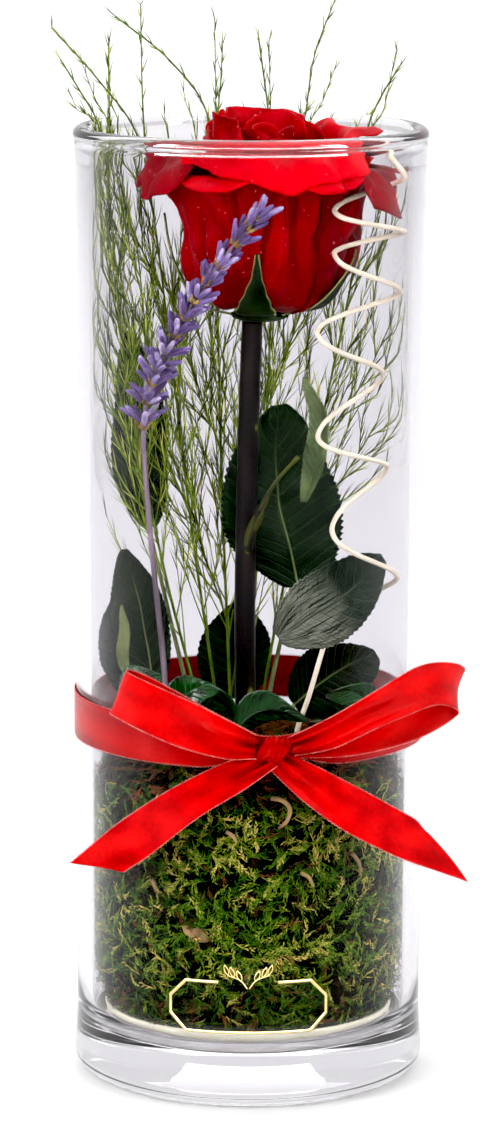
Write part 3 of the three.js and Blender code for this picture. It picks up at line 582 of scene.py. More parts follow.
print("bowls reach", BOWLS[-1][1][-1][0], "mm out")

# %% [markdown]
# ## The curly stick's line
# A stiff peeled stick winds up the front right of the vase and passes close by the bloom.
# Its turns aren't alike, so the line goes through listed turning points with half a
# turn between each two. It comes before the petals, which have to make room for it.

# %% Line of the curly stick
CURL_TURNS = [(286, 45.4), (276.5, 25), (269, 45.2), (263.5, 25), (250.5, 44.4), (239.5, 20), (225, 40),
              (206.5, 20.5), (196, 41.5), (177, 25), (160.5, 44.8)]
CURL_DEPTH, CURL_RADIUS = 6.5, 0.85
PLANTED = 104.0      # the height in the moss where thin stalks end


def planted(x, y):
    """The first two points of a stalk that stands in the moss."""
    return [(x, y, PLANTED), (x, y, 110.6)]


def curl_middle(x, z):
    """How far forward the middle of the curl stands."""
    return mix(-20, -23, smooth(190, 262, z)) + (x - 33) * 0.45


def curl_line():
    """Half turns from side to side, then a straight end down into the moss."""
    line = [(37, -13.5, 296), (42, -15, 292)]
    for (z0, x0), (z1, x1) in zip(CURL_TURNS, CURL_TURNS[1:]):
        for angle in np.linspace(0, np.pi, 5, endpoint=False):
            x = mix(x0, x1, (1 - math.cos(angle)) / 2)
            z = mix(z0, z1, angle / np.pi)
            bulge = CURL_DEPTH * math.sin(angle) * (-1 if x1 > x0 else 1)
            line.append((x, curl_middle(x, z) + bulge, z))
    z, x = CURL_TURNS[-1]
    line += [(x, curl_middle(x, z), z), (42.5, -9, 157), (36, -4.5, 153), (28, -4.5, 148),
             (25, -5.5, 142), (18.5, -9, 121)] + planted(15, -10)[::-1]
    return through(line, 420)


stick_line = evenly(curl_line(), 1.0)


def clear_of(points, line, room):
    """Pushes points sideways until they are at least room away from a line."""
    flat = points.reshape(-1, 3)
    for start in range(0, len(flat), 4000):
        part = flat[start:start + 4000]
        gaps = part[:, None] - line[None]
        far = np.linalg.norm(gaps, axis=2)
        near = far.argmin(axis=1)
        shortest = far[np.arange(len(part)), near]
        close = shortest < room
        push = unit(gaps[np.arange(len(part)), near]) * (room - shortest)[:, None]
        part[close] += push[close]
    return flat.reshape(points.shape)


print("stick length", round(len(stick_line)), "mm")

# %% [markdown]
# ## Petal finish
# Preserved petals keep a deep velvety red: matt, with a soft sheen at grazing angles and
# fine veins that run from the base to the edge. The colour gets darker towards the base,
# and shade is painted into the hollows between petals, which an ambient occlusion node
# finds. The backs of the petals are a darker copy of the same reds, as painted shade.
# The veins are noise stretched along the petal's own UV grid, and a few pale specks of
# dust lie on the surface.

# %% Petal material
PETAL_ROUGHNESS = 0.5
DUST, HOLLOW_SHADE_RED, SHADE_RED = (0.9, 0.3, 0.32, 1), (0.1, 0, 0.002, 1), (0.1, 0, 0.003, 1)


def petal_finish(name, base, middle, edge, cloud):
    """Reds from the petal's base to its edge, with darker clouds and veins over them, painted shade in the
    hollows and a painted shade tint on shaded petals.
    """
    material = finish(name, edge, PETAL_ROUGHNESS, Sheen_Weight=0.05, Sheen_Roughness=0.35,
                      Sheen_Tint=(1.0, 0.02, 0.05, 1), Specular_IOR_Level=0.2,
                      Specular_Tint=(1.0, 0.12, 0.14, 1))
    veins = spots(material, 6, 4, (26, 2.0, 1), "UV")
    clouds = spots(material, 60, 4)
    reds = ramp(material, coordinate(material, "UV", "Y"),
                (0.0, base), (0.5, middle), (0.88, edge), (1.0, edge))
    reds = blend(material, rescaled(material, clouds, 0.4, 0.64, 0.1, 0.75), reds, (*cloud, 1))
    reds = blend(material, maths(material, "MULTIPLY", veins, 0.25), reds, (*cloud, 1))
    # painted shade: ambient occlusion darkens the red in the hollows between petals
    reds = blend(material, painted_hollow_shade(material, 7, 0.3, 0.95, 0.85), reds, HOLLOW_SHADE_RED)
    reds = blend(material, tint_of(material), reds, SHADE_RED)
    dust = maths(material, "MULTIPLY", rescaled(material, spots(material, 1100, 0), 0.8, 0.84), 0.6)
    colour_by(material, blend(material, dust, reds, DUST))
    relief(material, maths(material, "ADD", veins, maths(material, "MULTIPLY", clouds, 3.0)), 0.4, 0.6)
    return material


petal_face = petal_finish("petal_face", (0.2, 0, 0.003), (0.48, 0, 0.005), (0.67, 0, 0.006), (0.3, 0, 0.004))
# painted shade: the backs are a darker copy of the face reds
petal_back_shaded = petal_finish("petal_back_shaded", (0.1, 0, 0.002), (0.29, 0, 0.003), (0.42, 0, 0.004), (0.16, 0, 0.002))
print("petal finishes ready")

# %% [markdown]
# ## Petal outlines
# Each row of the table is one petal, from the outside to the heart: its layer, its
# outline, how early it opens, the droop of its edge, and tugs. An outline says how far
# the petal reaches up its bowl at a few azimuths in degrees. The petals that the picture
# shows have outlines drawn one by one; the others get a plain round edge from a formula,
# in the spiral of a usual bloom. A tug pulls the petal at an azimuth and a reach by so
# many millimetres outwards and up, which turns a corner over or lifts an edge.

# %% Petal outlines
def round_edge(facing, spread, reach):
    """A plain petal's outline: how far it reaches at each azimuth, in degrees."""
    return [(facing + spread * side, reach * (1 - 0.1 * side ** 2 - 0.2 * side ** 6))
            for side in np.linspace(-1, 1, 9)]


PETALS = [
    (0.9, [(150, 0.8), (157, 1.0), (168, 1.12), (177, 1.24), (184, 1.4), (190, 1.34), (198, 1.44),
           (208, 1.46), (217, 1.48), (225, 1.46), (232, 1.32), (238, 0.98)], 0.1, 0.0,
     [(190, 1.4, 0.5, -3.0), (203, 1.44, 0.5, -3.6), (218, 1.45, 0.0, -3.4), (178, 1.25, 1.5, 0.0)]),
    (0.99, [(-170, 0.6), (-162, 0.86), (-150, 0.98), (-138, 1.05), (-130, 1.14), (-118, 1.25), (-106, 1.27),
            (-97, 1.18), (-90, 1.04), (-82, 0.9), (-78, 0.7)], 0.0, 0.0,
     [(-112, 1.2, 2.2, -0.6), (-160, 0.8, 1.2, 0.5)]),
    (0.965, [(-99, 0.7), (-92, 0.98), (-84, 1.12), (-78, 1.2), (-70, 1.28), (-62, 1.34), (-54, 1.3),
             (-47, 1.18), (-40, 0.98), (-31, 0.8), (-26, 0.6)], 0.0, 0.4,
     [(-32, 0.7, 3.2, 1.5), (-64, 1.25, 1.6, -0.4)]),
    (1.02, [(-56, 0.8), (-50, 1.2), (-44, 1.46), (-32, 1.5), (-20, 1.54), (-12, 1.42), (-6, 1.16), (0, 1.2),
            (7, 1.36), (14, 1.26), (22, 0.9)], 0.06, -0.3,
     [(6, 1.32, 4.8, 6.5), (-14, 1.4, -3.0, -0.5), (-30, 1.5, 1.2, -1.5)]),
    (0.93, round_edge(64, 40, 1.25), 0, 0.5, []),
    (1.0, round_edge(126, 38, 1.2), 0, 0.5, []),
    (0.79, round_edge(-154, 40, 1.08), 0, 0, []),
    (0.92, [(-148, 0.9), (-142, 1.12), (-134, 1.22), (-125, 1.24), (-109, 1.3), (-92, 1.34), (-79, 1.42),
            (-69, 1.31), (-56, 1.31), (-42, 1.3), (-32, 1.2), (-25, 1.08), (-19, 0.86)], 0.2, 0.2, []),
    (0.79, round_edge(-24, 38, 1.0), 0, 0, [(10, 0.62, 3.0, 1.0)]),
    (0.86, round_edge(40, 40, 1.2), 0, 0, []),
    (0.79, round_edge(104, 40, 1.12), 0, 0, []),
    (0.72, round_edge(-126, 42, 0.84), 0, 0, []),
    (0.62, round_edge(-54, 42, 0.84), 0, 0, []),
    (0.68, [(-34, 0.9), (-27, 1.16), (-14, 1.32), (0, 1.38), (14, 1.34), (30, 1.31), (46, 1.28), (58, 1.16),
            (66, 0.85)], 0.0, 2.4, []),
    (0.63, round_edge(94, 42, 1.0), 0, 0, []),
    (0.84, round_edge(160, 38, 1.12), 0, 0, []),
    (0.58, round_edge(-100, 55, 0.9), 0, 0, []),
    (0.5, round_edge(-8, 55, 0.88), 0, 0, []),
    (0.57, [(-2, 0.72), (4, 0.8), (14, 0.86), (34, 0.94), (60, 1.02), (90, 1.05), (120, 1.04), (142, 0.96),
            (150, 0.8)], 0.05, 0, []),
    (0.5, [(132, 0.78), (140, 0.92), (154, 0.99), (170, 0.97), (184, 0.94), (198, 0.99), (214, 1.05),
           (230, 1.04), (246, 0.95), (258, 0.78)], 0.0, 0,
     [(236, 1.0, -2.0, 0.5), (214, 1.0, 0.5, 2.2), (152, 0.98, 0, 1.5)]),
    (0.42, round_edge(-70, 75, 0.9), 0, 0, []),
    (0.35, round_edge(70, 80, 1.0), 0, 0, []),
    (0.27, round_edge(-150, 90, 0.95), 0, 0, []),
    (0.19, round_edge(-20, 100, 0.93), 0, 0, []),
    (0.1, round_edge(130, 130, 0.93), 0, 0, []),
]
print("petals drawn", len(PETALS))

# %% [markdown]
# ## Petal forms
# A real petal isn't smooth: long folds run down the bloom, the surface rolls softly, and
# the edge is frilled and curls over. The folds and rolls are noise in space, shared by
# all petals, so neighbours bend together and stay apart. Each petal is a grid of points
# from its base to its edge, and it is thinner at the edge. The two flares at the sides
# lie in shade in the picture, so they and the two petals between take a darker tint.

# %% Petal forms
PETAL_BASE = 0.13
FOLD_DEPTH = 2.6
BROAD_ROLL, SMALL_ROLL = (2.2, 17.0), (1.1, 7.0, 9.0)      # size, scale and seed of the noise
PETAL_THICK, PETAL_THIN = 0.6, 0.3
SHADED = {1: 0.8, 2: 0.2, 3: 0.15, 4: 0.8}      # how much darker a petal is than the rest
BLOOM_AXIS = 4.0      # how far to the right the middle of the bloom stands
BLOOM_FOOT = 240      # petals make room only for the part of the stick above this height


def creased(rows, depth):
    """Sharp folds that run down the bloom, where a stretched noise passes through zero."""
    flat = rows.reshape(-1, 3)
    x, y, z = (flat - np.array([BLOOM_AXIS, 0, 0])).T
    round_it = np.arctan2(y, x)
    value = np.array([noise.noise(Vector((3.1 * math.cos(a), 3.1 * math.sin(a), h / 34)))
                      for a, h in zip(round_it, z)])
    fold = np.minimum(np.abs(value) * 4, 1) - 1
    strength = depth * smooth(8, 22, np.hypot(x, y)) * smooth(246, 262, z)
    out = np.stack([np.cos(round_it), np.sin(round_it), 0 * x], -1)
    return rows + (out * (fold * strength)[:, None]).reshape(rows.shape)


def petal_rows(layer, outline, opening, droop, tugs, seed, tall=40, wide=45):
    """Rows of points from the petal's base to its edge."""
    at, far = np.array(outline, float).T
    side = np.linspace(-1, 1, wide)
    soft = through(np.stack([at, far, 0 * at], -1), wide * 4)
    at_side = np.interp(side, np.linspace(-1, 1, len(soft)), soft[:, 0])
    far_side = np.interp(side, np.linspace(-1, 1, len(soft)), soft[:, 1])
    outer = smooth(0.4, 0.8, layer)
    frill = 0.012 * np.sin(5.3 * side + seed) + 0.01 * np.sin(12.7 * side + 2.1 * seed)
    frill = outer * frill * (1 - side ** 4)
    up = np.linspace(0, 1, tall)[:, None]
    reaches = PETAL_BASE + (far_side + frill - PETAL_BASE) * up
    middle = (at[0] + at[-1]) / 2
    fan = mix(0.72, 1, smooth(PETAL_BASE, 0.78, reaches))
    azimuth = middle + (at_side - middle) * fan
    turn = np.radians(azimuth)
    bowl = layer - opening * smooth(0.72, 0.95, reaches) * (1 - smooth(0.98, 1.4, reaches))
    rows = bloom(bowl, reaches, turn)
    out = np.stack([np.cos(turn), np.sin(turn), np.zeros_like(turn)], -1)
    up_way = np.array([0, 0, 1.0])
    for azimuth_at, reach_at, outwards, upwards in tugs:
        weight = np.exp(-((azimuth - azimuth_at) / 9) ** 2 - ((reaches - reach_at) / 0.11) ** 2)[..., None]
        rows = rows + weight * (out * outwards + up_way * upwards)
    lip = smooth(0.88, 1.0, up)[..., None]
    wave = (0.6 + 0.4 * np.sin(4.1 * side + seed))[None, :, None]
    return rows + lip * wave * (out * 0.9 * outer - up_way * (droop + 0.5 * outer))


for index, petal in enumerate(PETALS, 1):
    rows = creased(petal_rows(*petal, seed=index * 1.7), FOLD_DEPTH)
    rows = stirred(stirred(rows, *BROAD_ROLL), *SMALL_ROLL)
    rows = clear_of(rows, stick_line[stick_line[:, 2] > BLOOM_FOOT], CURL_RADIUS + 0.5)
    thickness = mix(PETAL_THICK, PETAL_THIN, np.linspace(0, 1, len(rows)) ** 3)[:, None]
    heap = Heap()
    heap.add(*sheet(rows, thickness), slot=[1, 0, 0], tint=SHADED.get(index, 0.0))
    name = f"petal_{index:02d}"
    heap.piece("red_" + name, [petal_face, petal_back_shaded], "petals", [name])
print("petals", len(PETALS))

# %% [markdown]
# ## Many thin spikes at once
# Needles, moss strands and fuzz are all the same thing: a thin three-sided spike, a
# little bent. Building thousands of them in one go with arrays keeps the script fast,
# and they are ordinary mesh, so nothing is lost on export.

# %% Spikes
def spikes(start, end, radius, bow=0.0):
    """Many three-sided spikes at once; bow moves their middles."""
    start, end = np.asarray(start, float), np.asarray(end, float)
    way = unit(end - start)
    side = unit(np.cross(way, np.where(np.abs(way[:, 2:]) > 0.8, (1.0, 0, 0), (0, 0, 1.0))))
    up = np.cross(way, side)
    middle = (start + end) / 2 + bow
    radius = np.broadcast_to(radius, len(start))
    rings = [centre + (side * math.cos(angle) + up * math.sin(angle)) * (radius * share)[:, None]
             for centre, share in ((start, 1.0), (middle, 0.85)) for angle in (0.3, 2.4, 4.5)]
    points = np.stack([*rings, end], 1)
    first = np.arange(len(start))[:, None] * 7
    walls = np.concatenate([first + [k, (k + 1) % 3, 3 + (k + 1) % 3, 3 + k] for k in range(3)])
    tips = np.concatenate([first + [3 + k, 3 + (k + 1) % 3, 6] for k in range(3)])
    return points.reshape(-1, 3), [walls, np.concatenate([tips, first + [2, 1, 0]])]


print("spikes ready")

# %% [markdown]
# ## Moss colours
# The cushion is flat moss pressed against the glass: short feathery strands that lie
# every way, with dark gaps between them. Dried moss is never one green, so the tint of
# each strand runs from brown over dark and fresh green to straw, and a fine noise breaks
# it up within the strand. The core behind them is painted nearly black, as the shade in
# the gaps, with some earth brown.

# %% Moss finishes
moss_green = finish("moss_green", seen(70, 110, 30), 0.7, Specular_IOR_Level=0.12)
colour_by(moss_green, ramp(
    moss_green, speckled_tint(moss_green, 700, 0.35), (0.0, seen(130, 72, 44)), (0.16, seen(82, 56, 30)),
    (0.3, seen(22, 42, 10)), (0.5, seen(46, 94, 14)), (0.72, seen(112, 138, 32)), (1.0, seen(222, 196, 104))))
# painted shade: the core's near-black stands in for the shade between the strands, with some earth brown
moss_shade_core = finish("moss_shade_core", seen(12, 14, 6), 0.9, Specular_IOR_Level=0.05)
colour_by(moss_shade_core, ramp(moss_shade_core, spots(moss_shade_core, 220, 5), (0.35, seen(6, 7, 3)), (0.6, seen(20, 22, 9)),
                          (0.75, seen(50, 34, 18))))
relief(moss_shade_core, spots(moss_shade_core, 400, 4), 1.2)
twig_tan = finish("twig_tan", seen(176, 140, 92), 0.7)
colour_by(twig_tan, ramp(twig_tan, spots(twig_tan, 120, 4),
                         (0.35, seen(96, 60, 34)), (0.65, seen(190, 158, 104))))
print("moss finishes ready")

# %% [markdown]
# ## The core of the cushion
# A bumpy dark core fills the vase, so no light shows between the strands; its near-black
# colour is painted shade. It is turned from the cushion's outline, a little smaller, and
# stirred with noise. Everything of the moss is held inside the glass at the end, as the
# real moss is pressed against it.

# %% Core of the moss
MOSS_FOOT, MOSS_TOP = 18, 110.6
MOSS_PROFILE = [[0, MOSS_FOOT], [33, MOSS_FOOT], [38.5, 19.2], [42, 21.6], [44.8, 25], [47, 30.5], [48.5, 37],
                [49.3, 50], [49.3, 95], [46.3, 101], [30, 107], [0, 110]]
MOSS_LIMIT, CORE_LIMIT, LEAF_LIMIT, FERN_LIMIT = 49.25, 48.6, 49.2, 49.0      # radii inside the glass


def inside_vase(points, limit=MOSS_LIMIT):
    """Keeps points inside the glass, as if they were pressed against it."""
    across = np.maximum(np.hypot(points[..., 0], points[..., 1]), 1e-6)
    points[..., :2] *= np.minimum(1, limit / across)[..., None]
    return points


moss_outline = evenly(MOSS_PROFILE, 1.6)
core = moss_outline.copy()
core[:, 0] = np.minimum(core[:, 0], 48.2) - 1.4 * (core[:, 0] > 5)
core[:, 1] = np.clip(core[:, 1], MOSS_FOOT + 0.1, 107.8)
core_points, core_faces = turned(core, 96)
core_points = stirred(core_points, 2.2, 5.0)
core_points[:, :2] *= np.minimum(1, CORE_LIMIT / np.maximum(np.hypot(*core_points[:, :2].T), 1))[:, None]
core_points[:, 2] = np.clip(core_points[:, 2], MOSS_FOOT, 110)
moss_heap = Heap()
# slot 1 is the core's near-black finish, painted shade between the strands
moss_heap.add(core_points, core_faces, slot=1)
print("moss core points", len(core_points))

# %% [markdown]
# ## Moss strands
# Thousands of thin bent strands root in the cushion's outline and lie flat in every
# direction. They are spread by area: a ring counts by its radius, and the underside gets
# fewer. Their tint comes from a slow noise, so there are greener, yellower and brown
# patches as in a real cushion, and they get browner towards the top.

# %% Moss strands
MOSS_STRANDS = 6800


def moss_patch(points):
    """Slow noise over the cushion, about -1 to 1."""
    return np.array([noise.noise(Vector(p / 11)) * 0.8 + noise.noise(Vector(p / 4.5 + 40)) * 0.7
                     for p in points])


weights = moss_outline[:, 0] + 0.5
weights[moss_outline[:, 1] < 20] *= 0.25
row = chance.choice(len(moss_outline), MOSS_STRANDS, p=weights / weights.sum())
slopes = unit(np.gradient(moss_outline, axis=0))
outward = np.stack([slopes[row, 1], -slopes[row, 0]], -1)
angle = chance.uniform(0, 2 * np.pi, MOSS_STRANDS)
round_way = np.stack([np.cos(angle), np.sin(angle)], -1)
depth = chance.uniform(0.6, 2.4, (MOSS_STRANDS, 1))
root = np.c_[round_way * (moss_outline[row, :1] - depth), moss_outline[row, 1]]
root[:, 2] += chance.uniform(-0.9, 0.9, MOSS_STRANDS)
normal = np.c_[round_way * outward[:, :1], outward[:, 1]]
sideways = np.c_[-round_way[:, 1], round_way[:, 0], np.zeros(MOSS_STRANDS)]
rising = np.cross(normal, sideways)
lie = chance.uniform(0, 2 * np.pi, MOSS_STRANDS)
lift = chance.uniform(0.05, 0.6, MOSS_STRANDS)[:, None]
way = unit((sideways * np.cos(lie)[:, None] + rising * np.sin(lie)[:, None]) + normal * lift)
flank = unit(np.cross(normal, way))
length = chance.uniform(3.2, 7.5, MOSS_STRANDS)
bend = flank * chance.normal(0, 1.0, (MOSS_STRANDS, 1)) + normal * 0.2
moss_tone = np.clip(0.55 + 0.42 * moss_patch(root) + chance.normal(0, 0.17, MOSS_STRANDS)
                    - 0.42 * smooth(88, 104, root[:, 2]) - 0.12 * smooth(46, 26, root[:, 2]), 0, 1)
strand_points, strand_faces = spikes(root, root + way * length[:, None], 0.16, bend)
strand_points = inside_vase(strand_points)
strand_points[:, 2] = np.clip(strand_points[:, 2], MOSS_FOOT, MOSS_TOP)
moss_heap.add(strand_points, strand_faces, tint=np.repeat(moss_tone, 7))
print("moss strands", MOSS_STRANDS)

# %% [markdown]
# ## Leaflets on the strands
# Moss looks feathery because tiny leaves stand off each strand on both sides. Each one
# is a single narrow diamond, four points and one face, which is all that can be seen at
# this size and keeps the cushion light. Their directions are uneven on purpose: regular
# ones look like a small fir tree.

# %% Leaflets
LEAFLETS, LEAFLET_HALF = 8, 0.2

along = np.tile(np.linspace(0.12, 1.0, LEAFLETS), MOSS_STRANDS)
owner = np.repeat(np.arange(MOSS_STRANDS), LEAFLETS)
turn_side = np.tile(np.where(np.arange(LEAFLETS) % 2, 1.0, -1.0), MOSS_STRANDS)[:, None]
foot = root[owner] + way[owner] * (length[owner] * along)[:, None]
foot = foot + bend[owner] * (2 * along * (1 - along))[:, None]
forwards = chance.uniform(0.7, 2.2, (len(owner), 1))
to_the_side = turn_side * chance.uniform(0.2, 1.0, (len(owner), 1))
off_strand = chance.uniform(-0.2, 0.6, (len(owner), 1))
leaflet_way = unit(way[owner] * forwards + flank[owner] * to_the_side + normal[owner] * off_strand)
leaflet_long = (chance.uniform(1.4, 2.8, len(owner)) * (1.15 - 0.5 * along))[:, None]
leaflet_side = unit(np.cross(leaflet_way, normal[owner] + 0.001)) * LEAFLET_HALF
belly = foot + leaflet_way * leaflet_long * 0.45
quads = np.stack([foot, belly + leaflet_side, foot + leaflet_way * leaflet_long, belly - leaflet_side], 1)
quads = inside_vase(quads.reshape(-1, 3))
quads[:, 2] = np.clip(quads[:, 2], MOSS_FOOT, MOSS_TOP)
leaflet_tone = np.clip(moss_tone[owner] + chance.normal(0, 0.07, len(owner)), 0, 1)
moss_heap.add(quads, [np.arange(len(quads)).reshape(-1, 4)], tint=np.repeat(leaflet_tone, 4))
print("leaflets", len(owner))

# %% [markdown]
# ## Twigs and a bark chip
# Gathered moss brings bits of the forest floor along: a few pale curved twigs and a chip
# of bark lie against the glass. The twigs are short tubes that get thinner at the end,
# and the chip is a small sheet that follows the glass. They belong to the moss, so they
# are part of its piece.

# %% Twigs, bark chip and the whole cushion
TWIGS = [
    ([(6.6, -48.4, 98), (10, -48, 97.2), (12.2, -47.6, 94.6), (11.4, -47.8, 90.8), (8.8, -48.3, 88.4)], 0.75),
    ([(-6.8, -48.4, 87.4), (-4.8, -48.7, 86.2), (-3.6, -48.8, 84)], 0.6),
    ([(15.6, -46.4, 74), (18, -45.6, 72.4), (19.4, -45, 69.4)], 0.6),
    ([(-29, -39.4, 70), (-27, -40.8, 66)], 0.7),
    ([(31, -38, 78), (33, -36.2, 74.6), (33.4, -35.6, 71)], 0.6),
]
CHIP_X, CHIP_Z, CHIP_HALF_LONG, CHIP_HALF_WIDE = -15.6, 54.4, 4.0, 2.0

for line, thick in TWIGS:
    twig_line = evenly(through(line, 30), 0.7)
    thinner = 1 - 0.4 * np.linspace(0, 1, len(twig_line)) ** 3
    moss_heap.add(*tube(twig_line, thick * thinner, 7), slot=2)
chip_along, chip_across = np.meshgrid(np.linspace(-1, 1, 13), np.linspace(-1, 1, 9))
chip_edge = np.sqrt(np.clip(1 - chip_along ** 2, 0, 1)) * (1 + 0.2 * np.sin(5 * chip_along))
chip_x = CHIP_X + CHIP_HALF_LONG * chip_along
chip_y = -np.sqrt(CORE_LIMIT ** 2 - chip_x ** 2) - 0.1 * (1 - chip_across ** 2)
chip_z = CHIP_Z - 1.4 * chip_along + CHIP_HALF_WIDE * chip_across * chip_edge
moss_heap.add(*sheet(stirred(np.stack([chip_x, chip_y, chip_z], -1), 0.4, 2.0), 0.5), slot=2)
moss = moss_heap.piece("moss_strands", [moss_green, moss_shade_core, twig_tan], "moss", ["moss_cushion"])
print("moss points", len(moss.data.vertices))

# %% [markdown]
# ## Pad under the moss
# The moss sits on a pale felt-like pad, which shows as a light line along the bottom of
# the vase. The pad is pressed into the rounded corner of the glass, so its edge turns up
# like a shallow dish, and it is turned from that section.

# %% Pad under the moss
PAD_PROFILE = [[0, 15.85], [40, 15.85], [44, 17.4], [45.6, 19.5], [45.95, 22], [45.4, 22.35], [44.8, 22.2],
               [41, 19.5], [33, 17.7], [0, 17.7]]
pad_felt = finish("pad_felt", seen(196, 196, 172), 0.85)
colour_by(pad_felt, ramp(pad_felt, spots(pad_felt, 120, 4),
                         (0.3, seen(226, 222, 190)), (0.7, seen(246, 244, 222))))
relief(pad_felt, spots(pad_felt, 900, 2), 0.3)
pad_heap = Heap()
pad_heap.add(*turned(evenly(PAD_PROFILE, 1.0), 128))
pad_heap.piece("pale_pad", [pad_felt], "pad", ["base_pad"], weld=True)
print("pad", 2 * max(radius for radius, _ in PAD_PROFILE), "mm across")

# %% [markdown]
# ## Rose stem
# The stem is almost black, with a grey gloss down its side. Small olive scars show where
# thorns were taken off, and a thin olive side shoot leaves it through a dark collar with
# a few narrow scales. One tube with an uneven radius makes the stem, and the scars are
# shallow lumps pushed out of it. The tint of each point says how olive it is, so one
# finish does for the bark, the scars, the shoot and the scales.

# %% Stem, shoot and scales
STEM_LINE = [(-1.2, 0, 62), (-1.2, 0, 121), (-1.4, 0, 150), (-0.6, 0, 200), (0.6, 0, 239.3)]
SHOOT_LINE = [(-1.2, 0, 172), (2.6, -4.4, 180), (8.6, -5.6, 190), (15, -7, 197.4)]
COLLAR_LINE = [(-1.4, -0.5, 164), (0.2, -3.4, 171), (2.6, -4.4, 180)]
STEM_RADIUS, SHOOT_RADIUS = 3.4, 0.55
STEM_SCARS = [(-0.6, -3.3, 167.5, 1.5), (1.6, -3.0, 131, 1.5), (0.6, -3.3, 121, 2.0), (2.0, -2.4, 206, 1.2)]
SCAR_HEIGHT = 0.25
SHOOT_SCALES = [((-0.8, -3.2, 168.5), (1.4, -5.2, 179), 1.5), ((0.6, -3.8, 172), (4.6, -5.8, 181), 1.2),
                ((3.4, -5.0, 180), (6.2, -6.2, 185.5), 0.7)]

stem_bark = finish("stem_bark", seen(25, 22, 22), 0.36, Specular_IOR_Level=0.13)
bark_tone = spots(stem_bark, 60, 5, (3, 3, 0.35))
bark = ramp(stem_bark, bark_tone, (0.35, seen(10, 9, 9)), (0.6, seen(24, 21, 20)), (0.8, seen(50, 46, 42)))
olive_part = rescaled(stem_bark, tint_of(stem_bark), 0.6, 0.9)
colour_by(stem_bark, blend(stem_bark, olive_part, bark, (*seen(104, 112, 44), 1)))
relief(stem_bark, bark_tone, 0.5)

stem_middle = evenly(through(STEM_LINE, 200), 0.8)
uneven = np.array([noise.noise(Vector((0, 0, p[2] / 9))) for p in stem_middle])
stem_radius = STEM_RADIUS - 0.12 + 0.14 * uneven
stem_points, stem_faces, stem_uv = tube(stem_middle, stem_radius, 28)
stem_tint = np.zeros(len(stem_points))
for x, y, z, size in STEM_SCARS:
    far = np.linalg.norm((stem_points - (x, y, z)) * (1, 1, 0.55), axis=1)
    near = np.exp(-(far / size) ** 2)
    stem_tint = np.maximum(stem_tint, near)
    stem_points[:, :2] += near[:, None] * SCAR_HEIGHT * unit(stem_points[:, :2] + (1.2, 0))
stem_heap = Heap()
stem_heap.add(stem_points, stem_faces, stem_uv, tint=stem_tint)
shoot_middle = evenly(through(SHOOT_LINE, 60), 0.6)
shoot_radius = SHOOT_RADIUS + 0.25 * np.exp(-((shoot_middle[:, 2] - 197) / 1.6) ** 2)
shoot_tint = np.linspace(0.5, 0.8, len(shoot_middle)).repeat(12).tolist() + [0.5, 0.9]
stem_heap.add(*tube(shoot_middle, shoot_radius, 12), tint=shoot_tint)
collar_middle = evenly(through(COLLAR_LINE, 30), 0.6)
stem_heap.add(*tube(collar_middle, mix(1.7, 1.0, np.linspace(0, 1, len(collar_middle))), 14), tint=0.2)
ruler, cup = np.linspace(0, 1, 9)[:, None, None], np.linspace(-1, 1, 7)[None, :, None]
for base, tip, broad in SHOOT_SCALES:
    width = np.sin(np.pi * np.clip(ruler * 0.8 + 0.2, 0, 1)) * broad
    hollow = np.array([1.0, 0.2, 0]) * cup * width + np.array([0, -1.0, 0]) * (1 - cup ** 2) * width * 0.7
    stem_heap.add(*sheet(base + np.subtract(tip, base) * ruler + hollow, 0.25), tint=0.68)
stem_heap.piece("dark_stem", [stem_bark], "bark", ["rose_stem"])
print("stem", round(STEM_LINE[-1][2] - STEM_LINE[0][2]), "mm long")

# %% [markdown]
# ## Green cup and sepals
# Under the bloom sits the green cup with five sepals that lie against the outer petals.
# They are nearly black-green with a paler edge. Each one follows the same bowls as the
# petals, so it hugs the bloom. The cup is turned from a short profile that runs on into
# the feet of those bowls.

# %% Cup and sepals
SEPALS = [(-96, 0.6, 22), (188, 0.76, 8), (-28, 0.6, 15), (36, 0.5, 14), (108, 0.5, 14)]
SEPAL_LAYER, SEPAL_THICK = 1.12, 0.55      # each sepal has a direction, a reach and half a width in degrees

calyx_green = finish("calyx_green", seen(24, 36, 22), 0.6, Specular_IOR_Level=0.15)
pale_edge = rescaled(calyx_green, tint_of(calyx_green), 0.55, 1.0)
calyx_dark = ramp(calyx_green, spots(calyx_green, 160, 4, (1, 1, 0.3)),
                  (0.35, seen(10, 18, 10)), (0.7, seen(34, 50, 28)))
colour_by(calyx_green, blend(calyx_green, pale_edge, calyx_dark, (*seen(120, 120, 70), 1)))
relief(calyx_green, spots(calyx_green, 500, 3, (1, 1, 0.25)), 0.4)

calyx_heap = Heap()
feet = [curve[0] for level, curve in BOWLS if level <= 1][::-1]
cup_profile = [[0, 239.6], [3.6, 239.6], [6.4, 239.9], [8.6, 240.7], [9.4, 241.9]]
cup_profile += [[r, z - 0.4] for r, z in feet] + [[0, 253.4]]
cup_points, cup_faces = turned(cup_profile, 48)
calyx_heap.add(cup_points + [HEAD_OFFSET, 0, 0], cup_faces, tint=0.2)
for facing, reach, spread in SEPALS:
    up, side = np.linspace(0, 1, 40)[:, None], np.linspace(-1, 1, 17)[None]
    half = spread * (1 - up * 0.94) * (0.6 + 0.8 * np.sin(np.pi * np.minimum(1, up + 0.2)))
    half = half * (1 + 0.05 * np.sin(up * 40 + facing))
    rows = bloom(SEPAL_LAYER + 0.02 * side ** 2, reach * up + 0 * side, np.radians(facing + half * side))
    rows = stirred(rows, 1.5, 16.0)
    edge_tint = np.clip(np.abs(side) ** 6 + 0 * up, 0, 1)
    calyx_heap.add(*sheet(rows, SEPAL_THICK), tint=np.tile(edge_tint.ravel(), 2))
calyx_heap.piece("green_cup", [calyx_green], "calyx", ["rose_calyx"])
print("sepals", len(SEPALS))
